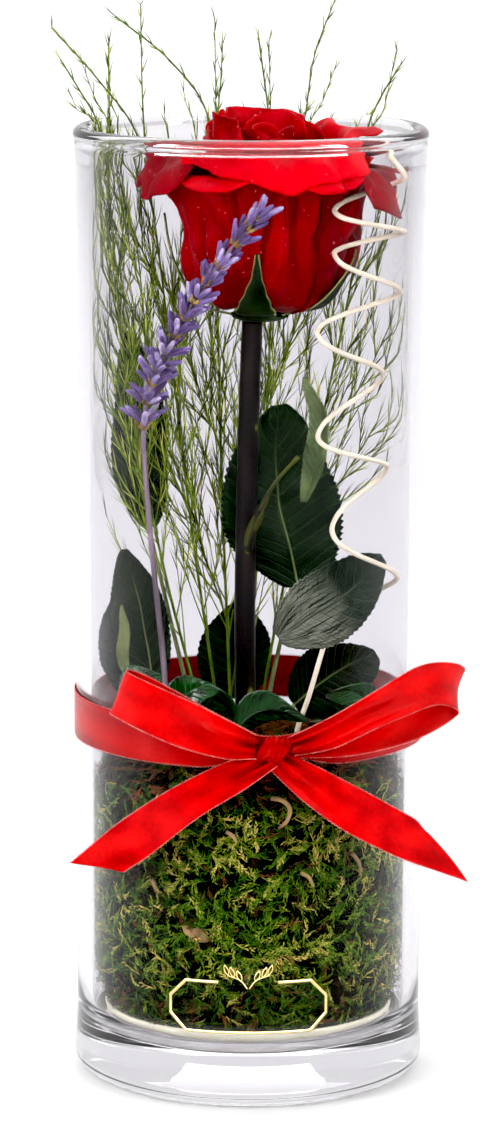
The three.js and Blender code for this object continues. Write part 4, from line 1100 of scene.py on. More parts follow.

# %% [markdown]
# ## Leaf finishes
# Preserved rose leaves are leathery and very dark green above, with sunken side veins, and
# pale olive below. The five small leaves on the moss are a fresher green and glossy, the
# leaf on the side shoot is grey-green, and one leaf has pale grey streaks, a painted sheen,
# on the half towards its stalk. They all come from one function: patches of two greens,
# paler veins and fine dots. The veins are drawn from the leaf's own UV grid, so they always
# follow its rib.

# %% Leaf finishes
SIDE_VEINS, VEIN_SLANT, VEIN_SHARPNESS = 13, 5, 24


def vein_lines(material):
    """Side veins that slope from the rib to the edge, from 0 between them to 1 on them."""
    off_rib = maths(material, "ABSOLUTE", maths(material, "SUBTRACT", coordinate(material, "UV", "X"), 0.5))
    along_rib = maths(material, "MULTIPLY", coordinate(material, "UV", "Y"), SIDE_VEINS)
    phase = maths(material, "SUBTRACT", along_rib, maths(material, "MULTIPLY", off_rib, VEIN_SLANT))
    wave = maths(material, "COSINE", maths(material, "MULTIPLY", phase, math.pi))
    side_vein = maths(material, "POWER", maths(material, "ABSOLUTE", wave), VEIN_SHARPNESS)
    return maths(material, "MAXIMUM", side_vein, rescaled(material, off_rib, 0.012, 0.03, 1.0, 0.0))


def leaf_finish(name, dark, light, vein, roughness, speckle=0.5, shine=0.07):
    """Patches of two greens, with paler veins and fine dots."""
    material = finish(name, dark, roughness, Specular_IOR_Level=shine)
    veins = vein_lines(material)
    greens = ramp(material, spots(material, 140, 5), (0.35, dark), (0.75, light))
    greens = blend(material, maths(material, "MULTIPLY", veins, 0.25), greens, (*vein, 1))
    dots = rescaled(material, spots(material, 1500, 1), 0.66, 0.74)
    colour_by(material, blend(material, maths(material, "MULTIPLY", dots, speckle), greens, (*vein, 1)))
    height = maths(material, "SUBTRACT", spots(material, 500, 4), maths(material, "MULTIPLY", veins, 0.8))
    relief(material, height, 0.5, 0.8)
    return material


leaf_dark = leaf_finish("leaf_dark", seen(8, 17, 9), seen(22, 38, 20), seen(62, 84, 54), 0.46)
leaf_pale = leaf_finish("leaf_pale", seen(88, 100, 62), seen(126, 134, 84), seen(150, 156, 110), 0.6, 0.3)
leaf_gloss = leaf_finish("leaf_gloss", seen(10, 42, 16), seen(20, 80, 28), seen(70, 120, 50), 0.22, 0.2, 0.5)
leaf_shoot_green = leaf_finish("leaf_shoot_green", seen(58, 74, 46), seen(112, 126, 84),
                               seen(150, 160, 118), 0.55, 0.3)
leaf_turned = leaf_finish("leaf_turned", seen(12, 22, 14), seen(30, 42, 30), seen(74, 88, 66), 0.46)
# painted sheen: pale grey streaks on the half towards the stalk
sheen_streaks = ramp(leaf_turned, spots(leaf_turned, 7, 2, (6, 0.45, 1), "UV"), (0.42, seen(24, 34, 26)),
               (0.54, seen(118, 122, 108)), (0.62, seen(54, 64, 52)))
stalk_half = rescaled(leaf_turned, coordinate(leaf_turned, "UV", "Y"), 0.62, 0.45)
plain_green = leaf_turned.node_tree.nodes["Principled BSDF"].inputs["Base Color"].links[0].from_socket
colour_by(leaf_turned, blend(leaf_turned, stalk_half, plain_green, sheen_streaks))
print("leaf finishes ready")

# %% [markdown]
# ## Leaf forms
# Each leaf grows along a rib line close to the CAD's. Rows of points lie across the rib,
# the half width follows a leaf's outline with a saw tooth every few rows, and the sheet
# folds along the rib, ripples between the side veins and waves at its edge. The rib is a
# thin tube on the back and runs on as the stalk. The table gives for each leaf its stalk,
# its rib, its width, the way across it, its fold and its teeth.

# %% Leaf table
LEAVES = {
    "leaf_behind_stem": (
        planted(5, 8) + [(7.5, 7, 124), (11, 6.5, 140)],
        [(16, 7.5, 154), (11, 9, 170), (8.5, 11, 190), (9, 13, 211)], 40, (1, 0.1, 0.05), 0.15, 30),
    "leaf_right": (
        [], [(9.5, -9, 140), (19, -8.5, 147), (31, -10, 156), (41, -13, 166)],
        25, (0.55, 0.1, -0.85), 0.12, 22),
    "leaf_tall_left": (
        planted(-19, 24) + [(-26, 26, 140)],
        [(-32.5, 25, 170), (-35.5, 21.5, 190), (-36, 20.5, 210), (-39.5, 19, 234)],
        22, (0.9, 0.42, 0), -0.08, 26),
    "leaf_low_left": (
        planted(-29, -6),
        [(-30.5, -6, 121), (-32, -7, 138), (-35.5, -8, 155), (-39, -8, 167.5)],
        19, (0.95, -0.25, 0.2), 0.2, 24),
    "leaf_far_left": (
        planted(-36, 7),
        [(-37.5, 8, 116), (-39, 8, 128), (-40, 8, 140), (-40, 7, 152)], 25, (0.6, 0.8, 0), -0.12, 20),
    "leaf_back_low": (
        planted(-6, 28),
        [(-6, 28, 113), (-5, 28, 122), (-4, 29, 134), (-4, 30, 144)], 25, (1, 0, 0), 0.15, 18),
    "leaf_right_low": (
        planted(14, 12),
        [(14.5, 12, 115), (22, 11, 121), (31, 10, 127), (41, 9, 131)], 29, (0.45, 0.35, -0.8), 0.15, 20),
    "leaf_shoot": (
        [], [(16.4, -9.6, 184), (21, -10.4, 197), (22.5, -10, 210), (17, -9.4, 223)],
        8.5, (0.8, -0.5, 0.1), 0.5, 22),
    "small_leaf_left": (
        [], [(-37, -20, 109), (-36.5, -18, 120), (-33, -18.5, 128.5), (-25.5, -20, 129.5)],
        14, (0.5, -0.5, -0.7), 0.25, 12),
    "small_leaf_mid_left": (
        [], [(-21, -22, 110.5), (-22, -22, 120), (-17.5, -22.5, 127), (-10, -23, 127)],
        13, (0.6, -0.4, -0.7), 0.25, 12),
    "small_leaf_front": (
        [], [(-6, -30, 110), (-1, -30, 119), (8, -31, 123), (18, -31, 119)], 14, (-0.2, -0.5, 0.85), 0.2, 12),
    "small_leaf_right": (
        [], [(38, -17, 109), (38, -17, 118), (33, -18, 124.5), (25, -19, 124)],
        13, (0.5, -0.4, 0.75), 0.2, 12),
    "small_leaf_back": (
        [], [(-3, -15, 111), (-6, -14.5, 118), (-12, -15, 122), (-19, -16.5, 120.5)],
        13.6, (0.2, -0.5, 0.85), 0.2, 12),
}
ROLLED_EDGE = [(-37, -9.5, 127), (-39, -9.5, 135), (-38.5, -9, 143), (-39.5, -9, 151)]      # on leaf_low_left
OTHER_FINISHES = {"leaf_right": [leaf_turned] * 2, "leaf_shoot": [leaf_shoot_green] * 2}
LEAF_THICK, STALK_RADIUS = 0.4, 0.8
print("leaves in the table", len(LEAVES))


# %% Leaves
def leaf_rows(rib, width, across, fold, teeth, seed):
    """Rows of points across the rib, from the stalk to the tip."""
    tall, wide = teeth * 3 + 1, 19
    line = through(rib, tall)
    side = unit(across)
    face = unit(np.cross(side, np.subtract(rib[-1], rib[0])))
    t = np.linspace(0, 1, tall)[:, None]
    k = np.linspace(-1, 1, wide)[None]
    long = np.linalg.norm(np.diff(line, axis=0), axis=1).sum()
    saw = 0.93 + 0.07 * ((t * teeth + 0.01) % 1)
    half = width / 2 * np.sin(np.pi * mix(0.04, 0.985, t ** 0.9)) ** 0.7 * saw
    off = k * half
    ripple = 0.3 * np.cos(2 * np.pi * (t * long - 0.55 * np.abs(off)) / (long / 6.5))
    ripple = ripple * smooth(0.1, 0.6, np.abs(k))
    lift = np.abs(off) * fold + ripple * (width / 40) - 0.35 * np.exp(-off ** 2)
    lift = lift + (width / 30) * 0.9 * np.sin(4.4 * t + 2.2 * k + seed) * np.abs(k) ** 2
    rows = line[:, None] + side * off[..., None] + face * lift[..., None]
    return stirred(rows, 1.2, 17.0, seed)


for index, (name, (stalk, *form)) in enumerate(LEAVES.items()):
    heap = Heap()
    rows = inside_vase(leaf_rows(*form, seed=index * 2.3), LEAF_LIMIT)
    heap.add(*sheet(rows, LEAF_THICK), slot=[0, 1, 0])
    spine = rows[:, rows.shape[1] // 2]
    heap.add(*tube(spine[:-2], mix(0.55, 0.15, np.linspace(0, 1, len(spine) - 2)), 6), slot=1)
    if stalk:
        stalk_line = evenly(through(stalk + [tuple(spine[0])], 40), 1.0)
        heap.add(*tube(stalk_line, mix(STALK_RADIUS, 0.6, np.linspace(0, 1, len(stalk_line))), 8), slot=1)
    if name == "leaf_low_left":
        rolled = leaf_rows(ROLLED_EDGE, 5, (0.8, -0.5, 0.1), 0.4, 8, seed=3.0)
        heap.add(*sheet(inside_vase(rolled, LEAF_LIMIT), 0.3), slot=1)
    if name.startswith("small"):
        heap.piece("dark_" + name, [leaf_gloss, leaf_gloss], "glossy_leaf", [name])
    else:
        heap.piece("dark_" + name, OTHER_FINISHES.get(name, [leaf_dark, leaf_pale]), "leaf", [name])
print("leaves", len(LEAVES))

# %% [markdown]
# ## Fern-like asparagus green
# Five sprays stand behind the rose. Each has a thin main stalk, a few twigs on lines close
# to the CAD's, many side twigs and about a thousand fine needles. The needles stand in
# pairs that turn round their twig and point up along it. They are the spikes from above,
# thinned out low down, where a real spray is nearly bare. None stands where it would run
# through the bloom, the stem, the lavender or the curly stick.

# %% Lines of the sprays and the lavender
FERNS = {
    "fern_left_outer": (
        planted(-15, 2) + [(-27, 8, 158), (-38, 11, 210), (-42.5, 10, 250), (-46, 7, 290), (-48, 5.5, 301),
                           (-53, 4, 310), (-59, 2, 320)],
        [[(-29, 8.5, 168), (-40, 3, 205), (-44, -1, 228)],
         [(-35, 10.4, 196), (-33, 2, 235), (-35, -2, 262)],
         [(-40, 11, 226), (-46, 4, 262), (-47.5, 2, 281)],
         [(-42.5, 10, 250), (-40, 5, 268), (-39.5, 4, 281)]]),
    "fern_left_inner": (
        planted(-10, 12) + [(-18, 20, 165), (-25, 27, 220), (-31, 25, 268), (-36, 18, 296), (-48, 15, 313),
                            (-62, 12, 329)],
        [[(-19.5, 21.5, 175), (-31, 16, 205), (-37, 14.5, 236)],
         [(-24, 26, 211), (-20, 34, 238), (-17, 37, 255)],
         [(-28, 26.6, 245), (-40, 24, 270), (-43, 20, 286)],
         [(-32.6, 23, 281), (-34, 18.5, 308), (-34.5, 17, 336)]]),
    "fern_back_left": (
        planted(-6, 18) + [(-9, 32, 180), (-11, 41, 245), (-14, 43, 300), (-26, 41, 317), (-43, 38, 331)],
        [[(-7.4, 24.6, 140), (-19, 32, 172), (-27, 37, 196)],
         [(-9.4, 34, 193), (-20, 40, 222), (-26, 40.5, 243)],
         [(-13, 42.8, 285), (-10, 45.5, 305), (-9, 44, 322)]]),
    "fern_back_right": (
        planted(-1, 16) + [(4, 30, 180), (7, 41, 245), (6, 46, 295), (2.4, 44, 324)],
        [[(0.6, 22.4, 138), (-3, 34, 176), (-4, 40, 205)],
         [(5.4, 34.6, 206), (17, 40, 240), (20, 42, 262)],
         [(7, 43, 262), (17, 42.5, 298), (20, 40, 318), (27, 36, 338)]]),
    "fern_right": (
        planted(4, 20) + [(13, 24, 160), (26, 30, 215), (35, 29, 262), (37, 27, 297), (41, 25, 307),
                          (46.8, 22, 317)],
        [[(13.5, 24.4, 163), (30, 21, 186), (41, 15, 205)],
         [(20.6, 27.6, 193), (36, 22, 216), (45, 14, 236)],
         [(27.6, 30, 223), (24, 36, 246), (22, 40, 260)],
         [(32, 29.6, 245), (43, 22, 262), (44.4, 20, 282)]]),
}
LAVENDER_LINE = planted(-24.5, -27) + [
    (-26, -27, 136), (-28.6, -27, 162), (-31, -27, 190), (-31.8, -28, 208), (-30.5, -29, 220),
    (-24, -31.5, 236), (-15.5, -34, 251.5), (-5.5, -36.5, 266.5), (3.5, -38.5, 277.5)]
lavender_line = evenly(through(LAVENDER_LINE, 240), 1.0)
fern_green = finish("fern_green", seen(82, 104, 34), 0.55, Specular_IOR_Level=0.12)
colour_by(fern_green, ramp(
    fern_green, speckled_tint(fern_green, 150, 0.5), (0.0, seen(28, 44, 12)), (0.35, seen(92, 118, 28)),
    (0.65, seen(150, 168, 54)), (1.0, seen(220, 216, 120))))
print("sprays", len(FERNS))

# %% Needles and side twigs
BLOOM_GIRTH = [(240, 12), (246, 24), (258, 33), (276, 37), (288, 47), (300, 40)]      # height and radius
GOLDEN_ANGLE = 2.399      # the turn between two leaves that most plants have


def free(points):
    """True where a needle may be: clear of the bloom, the stem, the lavender and the curly stick."""
    out = np.hypot(points[:, 0] - BLOOM_AXIS, points[:, 1])
    bloom_out = np.interp(points[:, 2], *zip(*BLOOM_GIRTH))
    keep = ~((points[:, 2] > 238) & (points[:, 2] < 300) & (out < bloom_out))
    for line, room in ((stem_middle, 5.0), (lavender_line, 7.0), (stick_line, 2.0)):
        near = np.array([np.min(np.sum((line - p) ** 2, axis=1)) for p in points])
        keep &= near > room ** 2
    return keep


def within(points):
    """Inside the glass below the rim, and inside the CAD's box above it."""
    points = np.array(points)
    low = points[:, 2] < 301
    points[low] = inside_vase(points[low], FERN_LIMIT)
    return np.clip(points, np.array(cad_box[0]) / MM + 0.3, np.array(cad_box[1]) / MM - 0.3)


def needles_on(line, step, long, lean):
    """Roots and tips of needles along a line, in pairs that turn round it."""
    line = evenly(line, step)[1:]
    if len(line) < 2:
        return np.zeros((0, 3)), np.zeros((0, 3))
    way = unit(np.gradient(line, axis=0))
    side = unit(np.cross(way, (0.0, 1.0, 0.0)))
    up = np.cross(way, side)
    around = np.arange(len(line)) * GOLDEN_ANGLE + chance.uniform(0, 6)
    starts, stops = [], []
    for number in range(2):
        angle = around + number * 0.9 + chance.normal(0, 0.3, len(line))
        out = side * np.cos(angle)[:, None] + up * np.sin(angle)[:, None]
        tilt = np.clip(lean + chance.normal(0, 0.07, len(line)), 0.1, 0.8)[:, None]
        size = np.where(line[:, 2] > 292, 0.55, 1.0) * long * chance.uniform(0.75, 1.2, len(line))
        starts.append(line)
        stops.append(line + (way * np.cos(tilt) + out * np.sin(tilt)) * size[:, None])
    return np.vstack(starts), np.vstack(stops)


def sprigs_on(line, spacing, lengths):
    """Straight side twigs that leave the line at a narrow angle."""
    way = unit(np.gradient(line, axis=0))
    found = []
    for number, at in enumerate(range(2, len(line) - 2, spacing)):
        if line[at][2] > 288:
            continue
        angle = number * GOLDEN_ANGLE + chance.uniform(-0.4, 0.4)
        out = unit(np.cross(way[at], (math.cos(angle), math.sin(angle), 0.1)))
        long = chance.uniform(*lengths)
        middle = line[at] + (way[at] * 0.88 + out * 0.42) * long * 0.5
        tip = middle + (way[at] * 0.9 + out * 0.28 + np.array([0, 0, 0.15])) * long * 0.5
        sprig = within(through([line[at], middle, tip], 9))
        if free(sprig[2:]).all():
            found.append(sprig)
    return found


print("needles ready")

# %% Sprays
thinning = np.random.default_rng(31)
for name, (stalk, twigs) in FERNS.items():
    heap = Heap()
    main = evenly(through(stalk, 200), 1.5)
    heap.add(*tube(main, mix(0.5, 0.25, np.linspace(0, 1, len(main))), 6), tint=0.3)
    upper = main[main[:, 2] > 128]
    spacing = 3 if "back" in name else 4
    carriers = [(upper, spacing, 9.5, 0.26)]
    sprigs = sprigs_on(upper, spacing, (26, 50))
    for twig in twigs:
        line = evenly(through(twig, 60), 1.5)
        heap.add(*tube(line, mix(0.35, 0.18, np.linspace(0, 1, len(line))), 5), tint=0.35)
        carriers.append((line, spacing, 10.0, 0.27))
        sprigs += sprigs_on(line, spacing, (20, 40))
    for sprig in sprigs:
        heap.add(*tube(sprig, mix(0.24, 0.12, np.linspace(0, 1, len(sprig))), 4), tint=0.45)
        carriers.append((sprig, 3.4, 9.5, 0.26))
    gathered = [needles_on(*carrier) for carrier in carriers]
    start = np.vstack([pair[0] for pair in gathered])
    stop = within(np.vstack([pair[1] for pair in gathered]))
    bare_below = thinning.uniform(0, 1, len(start)) < mix(0.25, 1.0, smooth(135, 200, start[:, 2]))
    keep = free(stop) & (start[:, 2] > 118) & bare_below
    start, stop = start[keep], stop[keep]
    tone = np.clip(chance.normal(0.42, 0.3, len(start)), 0, 1)
    bow = chance.normal(0, 0.15, (len(start), 3))
    heap.add(*spikes(start, stop, 0.18, bow), tint=np.repeat(tone, 7))
    heap.piece("green_" + name, [fern_green], "fern", [name])
    print(name, "side twigs", len(sprigs), "needles", len(start))

# %% [markdown]
# ## Lavender
# One dried lavender spike leans in front of the bloom. Its flowers are small ribbed
# tubes in rings round the stalk, blue-violet with a paler fuzz, and each ring sits on
# five ochre bracts. The rings get smaller towards the tip. A flower is made once as a
# function and set into each ring with a chance turn, length and tone, so no two are
# alike; the fuzz is made of the same spikes as the needles.

# %% Lavender finishes
lavender_blue = finish("lavender_blue", seen(112, 98, 168), 0.75, Sheen_Weight=0.3, Sheen_Roughness=0.4,
                       Sheen_Tint=(0.75, 0.72, 0.95, 1), Specular_IOR_Level=0.15)
colour_by(lavender_blue, ramp(
    lavender_blue, speckled_tint(lavender_blue, 900, 0.4), (0.0, seen(70, 46, 76)), (0.3, seen(84, 64, 112)),
    (0.6, seen(116, 98, 148)), (0.95, seen(184, 172, 204))))
relief(lavender_blue, spots(lavender_blue, 1800, 2), 0.15)
bract_ochre = finish("bract_ochre", seen(150, 122, 64), 0.8)
colour_by(bract_ochre, ramp(bract_ochre, spots(bract_ochre, 600, 3),
                            (0.3, seen(96, 76, 44)), (0.7, seen(156, 128, 66))))
stalk_violet = finish("stalk_violet", seen(92, 74, 92), 0.7)
colour_by(stalk_violet, ramp(stalk_violet, spots(stalk_violet, 90, 4, (1, 1, 0.3)),
                             (0.3, seen(70, 58, 68)), (0.7, seen(122, 104, 118))))
print("lavender finishes ready")

# %% Lavender bud
BUD_SHAPE = [(0.0, 0.4), (0.1, 0.75), (0.3, 1.0), (0.62, 0.96), (0.85, 0.78), (0.97, 0.5), (1.0, 0.1)]
BUD_SIDES = 10


def bud(heap, base, way, long, radius, tint):
    """A ribbed tube with a soft closed mouth."""
    side = unit(np.cross(way, (0.2, 0.9, 0.4)))
    up = np.cross(way, side)
    turn = np.linspace(0, 2 * np.pi, BUD_SIDES, endpoint=False)
    ridge = 1 + 0.13 * np.cos(turn * 5)
    points = np.array([base + way * share * long + (side * math.cos(a) + up * math.sin(a)) * radius * wide * r
                       for share, wide in BUD_SHAPE for a, r in zip(turn, ridge)])
    grid = np.arange(len(points)).reshape(len(BUD_SHAPE), BUD_SIDES)
    after = np.roll(grid, -1, axis=1)
    walls = np.stack([grid[:-1], after[:-1], after[1:], grid[1:]], -1).reshape(-1, 4)
    tone = np.repeat([tint + 0.25 * share ** 2 for share, _ in BUD_SHAPE], BUD_SIDES)
    heap.add(points, [walls, [list(grid[0][::-1]), list(grid[-1])]], tint=tone)


print("bud ready")

# %% Lavender spike
FUZZ_HAIRS, BRACTS = 18, 5
WHORLS = [(0.585, 9), (0.625, 12), (0.658, 13), (0.69, 13), (0.722, 13), (0.755, 13), (0.788, 12), (0.82, 12),
          (0.855, 11), (0.892, 10), (0.935, 8), (0.972, 7), (0.992, 4)]      # share of the stalk and buds

lavender_heap = Heap()
thinner = mix(0.95, 0.5, np.linspace(0, 1, len(lavender_line)))
lavender_heap.add(*tube(lavender_line, thinner, 10), slot=2)
lavender_way = unit(np.gradient(lavender_line, axis=0))
fuzz_from, fuzz_to = [], []
for share, count in WHORLS:
    at = int(share * (len(lavender_line) - 1))
    centre, way_up = lavender_line[at], lavender_way[at]
    side = unit(np.cross(way_up, (0, 1, 0)))
    up = np.cross(way_up, side)
    for number in range(count):
        angle = 2 * np.pi * number / count + chance.uniform(-0.25, 0.25) + share * 40
        out = side * math.cos(angle) + up * math.sin(angle)
        open_by = mix(0.95, 0.5, smooth(0.6, 0.99, share)) * chance.uniform(0.7, 1.15)
        bud_way = unit(way_up * math.cos(open_by) + out * math.sin(open_by))
        base = centre + out * 0.9 + way_up * chance.uniform(-1.6, 1.6)
        long = chance.uniform(5.2, 7.4)
        bud(lavender_heap, base, bud_way, long, chance.uniform(0.7, 0.92), chance.uniform(0.05, 0.7))
        for _ in range(FUZZ_HAIRS):
            spin = unit(np.cross(bud_way, chance.normal(0, 1, 3)))
            spot = base + bud_way * long * chance.uniform(0.05, 0.95) + spin * 0.7
            fuzz_from.append(spot)
            fuzz_to.append(spot + spin * 0.35 + bud_way * 0.25)
    for number in range(BRACTS):
        angle = number * 1.26 + share * 30
        out = side * math.cos(angle) + up * math.sin(angle)
        tip = centre + out * 2.3 + way_up * 1.2
        bract_line = np.array([centre - way_up * 1.4 + out * 0.5, centre + out * 1.5 - way_up * 0.3, tip])
        lavender_heap.add(*tube(through(bract_line, 6), [0.5, 0.75, 0.8, 0.6, 0.35, 0.1], 6), slot=1)
lavender_heap.add(*spikes(fuzz_from, fuzz_to, 0.035), tint=0.9)
lavender_heap.piece("lavender_spike", [lavender_blue, bract_ochre, stalk_violet], "lavender", ["lavender"])
print("lavender buds", sum(count for _, count in WHORLS))

# %% [markdown]
# ## Curly stick
# The stick is peeled and cream, with a few tan streaks along it. Its line was made before
# the petals; here it only gets a round body, made slightly uneven with noise. Its finish
# is noise too, stretched along the stick by its own UV grid.

# %% Curly stick
peeled_cream = finish("peeled_cream", seen(236, 220, 188), 0.55)
colour_by(peeled_cream, ramp(
    peeled_cream, spots(peeled_cream, 30, 4, (6, 0.6, 1), "UV"), (0.3, seen(222, 196, 156)),
    (0.48, seen(250, 238, 212)), (0.8, seen(255, 248, 232))))
relief(peeled_cream, spots(peeled_cream, 60, 3, (8, 0.7, 1), "UV"), 0.2)
stick_heap = Heap()
stick_radius = CURL_RADIUS * (0.92 + 0.1 * np.array([noise.noise(Vector(p / 6)) for p in stick_line]))
stick_heap.add(*tube(stick_line, stick_radius, 12))
stick_heap.piece("cream_stick", [peeled_cream], "peeled_stick", ["curly_stick"])
print("stick points", len(stick_line))

# %% [markdown]
# ## Satin
# The ribbon is red satin with a fine twill and tiny picot loops of a lighter red along
# both edges. Satin shines in broad soft areas that change along the cloth, so a slow
# noise along the strip paints that shine into its red, between deep and bright: a painted
# sheen. Shade is painted too: the red is deeper in folds, which an ambient occlusion node
# finds, and where less light comes: near the knot, inside the loops and on the band.
# Those parts carry a tint that says so.

# %% Ribbon finishes
SATIN_SHADE = (0.16, 0.0, 0.001, 1)

satin_red = finish("satin_red", (0.75, 0.0, 0.004), 0.24, Specular_IOR_Level=0.4, Anisotropic=0.3,
                   Specular_Tint=(1.0, 0.12, 0.09, 1))
on_cloth = node(satin_red, "TexCoord", {}).outputs["UV"]
twill = node(satin_red, "TexWave", {"Vector": on_cloth, "Scale": 60.0, "Distortion": 1.0},
             bands_direction="DIAGONAL").outputs["Fac"]
# painted sheen: a slow noise along the strip stands in for the satin's shine
painted_sheen_tone = spots(satin_red, 3.2, 0.5, (0.6, 2.2, 1), "UV")
threads = maths(satin_red, "ADD", maths(satin_red, "MULTIPLY", twill, 0.2),
                maths(satin_red, "MULTIPLY", spots(satin_red, 900, 2), 0.2))
thread_and_sheen_tone = maths(satin_red, "ADD", threads, maths(satin_red, "MULTIPLY", painted_sheen_tone, 0.6))
satin_reds = ramp(satin_red, thread_and_sheen_tone, (0.33, (0.36, 0.0, 0.002)), (0.48, (0.74, 0.0, 0.003)),
                  (0.66, (1.0, 0.005, 0.006)))
# painted shade: deeper red in folds found by ambient occlusion, and where the tint marks less light
sheltered = maths(satin_red, "MULTIPLY", tint_of(satin_red), 0.75)
in_shade = maths(satin_red, "MAXIMUM", painted_hollow_shade(satin_red, 5, 0.35, 0.95, 0.9), sheltered)
colour_by(satin_red, blend(satin_red, in_shade, satin_reds, SATIN_SHADE))
relief(satin_red, twill, 0.05)

picot_red = finish("picot_red", (0.9, 0.1, 0.1), 0.5)
colour_by(picot_red, ramp(picot_red, spots(picot_red, 600, 2),
                          (0.35, (0.7, 0.01, 0.02)), (0.65, (1.0, 0.3, 0.26))))
print("ribbon finishes ready")

# %% [markdown]
# ## Where the ribbon runs
# The bow is one ribbon on the real object. Here each loop and each tail is a strip of its
# own along a middle line. A station of the line has a place, the way across the ribbon
# and half its width there. Near the knot the strip is narrower than the cloth, because
# the cloth is gathered in folds.

# %% Ribbon stations
RIBBON_WIDTH, RIBBON_CLOTH = 13.6, 0.22
BAND_HEIGHT, BAND_RADIUS = 115.5, 55.15
KNOT = np.array([7.5, -59.8, 115.6])


def station(x, y, z, side, half=RIBBON_WIDTH / 2):
    """A place on the middle line and the way from there to the edge."""
    return np.array([x, y, z], float), unit(side) * half


LOOP_LEFT = [
    station(1.8, -61, 116.6, (-0.1, -0.2, -1), 3.4), station(-6, -63.4, 119, (-0.2, -0.2, -1), 5.4),
    station(-20, -64.6, 124.6, (-0.36, -0.15, -0.93)), station(-33, -62, 130, (-0.42, -0.1, -0.9)),
    station(-39.5, -57.5, 132.6, (-0.45, 0, -0.89)), station(-37, -53.4, 131.6, (-0.45, 0, -0.89)),
    station(-25, -54.6, 126.6, (-0.42, 0, -0.9), 6.2), station(-10, -58.4, 120.6, (-0.3, 0, -0.95), 5),
    station(1.8, -58.9, 116.9, (-0.1, 0, -1), 3)]
LOOP_RIGHT = [
    station(13, -61, 117.2, (-0.2, -0.2, 1), 3.4), station(24, -65.6, 122, (-0.42, -0.3, 0.86), 5.2),
    station(42, -68, 132, (-0.4, -0.35, 0.85), 6.4), station(54.5, -66, 137.4, (-0.25, -0.25, 0.93), 6.6),
    station(62.4, -61.6, 136, (0.1, -0.1, 1)), station(64, -57.6, 133, (0.15, 0, 1)),
    station(59.5, -55, 129.4, (0, 0.1, 1)), station(46, -54.6, 123.4, (-0.35, 0.1, 0.93)),
    station(30, -57.2, 118.4, (-0.3, 0, 0.95), 5.4), station(13, -58.9, 115.8, (-0.1, 0, 1), 3)]
TAIL_LEFT = [
    station(6.4, -60.4, 112.6, (0.6, -0.3, -0.5), 3.4), station(-5, -60.4, 106.8, (0.55, -0.45, -0.65), 5.4),
    station(-20, -59.4, 98, (0.52, -0.6, -0.6)), station(-34, -56.8, 87.4, (0.56, -0.5, -0.62)),
    station(-46.6, -53, 76.8, (1, -0.42, -0.06), 9)]
TAIL_RIGHT = [
    station(8.8, -60.2, 112.4, (-0.6, -0.3, -0.5), 3.4), station(19.5, -60.8, 105, (-0.5, -0.4, -0.7), 5.6),
    station(33, -60.4, 96.4, (-0.42, -0.5, -0.75)), station(47, -58, 88.4, (-0.36, -0.45, -0.8)),
    station(61.4, -54.4, 80.6, (0.62, 0, -0.78), 9.6)]
print("stations", len(LOOP_LEFT + LOOP_RIGHT + TAIL_LEFT + TAIL_RIGHT))

# %% [markdown]
# ## Ribbon strips
# Each strip is a grid of rows across the cloth. Folds run out of the knot, where there is
# cloth to spare, soft waves run along the free part, and the edges cup a little. The grid
# becomes a thin solid sheet.

# %% Ribbon strips
STRIP_ROWS, STRIP_COLUMNS = 150, 25


def ribbon_rows(stations, closed_ends):
    """Rows across the strip and its length; with closed ends both ends are in the knot."""
    middle = through([centre for centre, _ in stations], STRIP_ROWS)
    across = through([side for _, side in stations], STRIP_ROWS)
    k = np.linspace(-1, 1, STRIP_COLUMNS)
    rows = middle[:, None] + across[:, None] * k[None, :, None]
    normal = unit(np.cross(np.gradient(rows, axis=1), np.gradient(rows, axis=0)))
    half = np.linalg.norm(across, axis=1)
    spare = np.clip(1 - half / (RIBBON_WIDTH / 2), 0, 0.6)[:, None]
    far = np.concatenate([[0], np.cumsum(np.linalg.norm(np.diff(middle, axis=0), axis=1))])
    from_knot = np.minimum(far, far[-1] - far)[:, None] if closed_ends else far[:, None]
    folds = np.cos(np.pi * 2.5 * k + 0.6)[None] * spare * 2.2
    folds = folds + np.sin(np.pi * 1.5 * k + 0.9)[None] * 0.5 * np.exp(-from_knot / 16)
    waves = 0.9 * np.sin(far[:, None] / 8 + 1.6 * k[None]) * (1 - np.exp(-from_knot / 20))
    cup = -0.9 * (k ** 2)[None] * np.exp(-from_knot / 60)
    return rows + normal * (folds + waves + cup)[..., None], far[-1]


def picot(heap, edge, outward):
    """Tiny loops along one edge of the ribbon."""
    line = evenly(edge, 0.3)
    share, known = np.linspace(0, 1, len(line)), np.linspace(0, 1, len(edge))
    outward = np.stack([np.interp(share, known, outward[:, axis]) for axis in range(3)], -1)
    beat = (np.arange(len(line)) % 4 < 2)[:, None]
    heap.add(*tube(line + outward * (0.05 + 0.3 * beat), 0.12, 3), tint=0.8)


def ribbon_piece(name, stations, closed_ends):
    """One strip of cloth with its picot loops, with painted shade near the knot and inside a loop."""
    rows, long = ribbon_rows(stations, closed_ends)
    heap, edging = Heap(), Heap()
    way = np.linspace(0, 1, len(rows))
    # painted shade: the tint darkens the satin near the knot and on the second half of a loop, inside it
    near_knot = np.exp(-way / 0.07) + (np.exp(-(1 - way) / 0.07) if closed_ends else 0)
    painted_shade = np.maximum(0.7 * near_knot, 0.5 * smooth(0.5, 0.6, way) if closed_ends else 0)
    heap.add(*sheet(rows, RIBBON_CLOTH), tint=np.tile(np.repeat(painted_shade, rows.shape[1]), 2))
    cloth = heap.piece("satin_" + name, [satin_red], "satin", ["ribbon_" + name])
    for column, inner in ((0, 1), (-1, -2)):
        picot(edging, rows[:, column], unit(rows[:, column] - rows[:, inner]))
    loops = edging.piece("picot_" + name, [picot_red], "satin")
    print(name, "ribbon", round(long), "mm long")


print("strips ready")

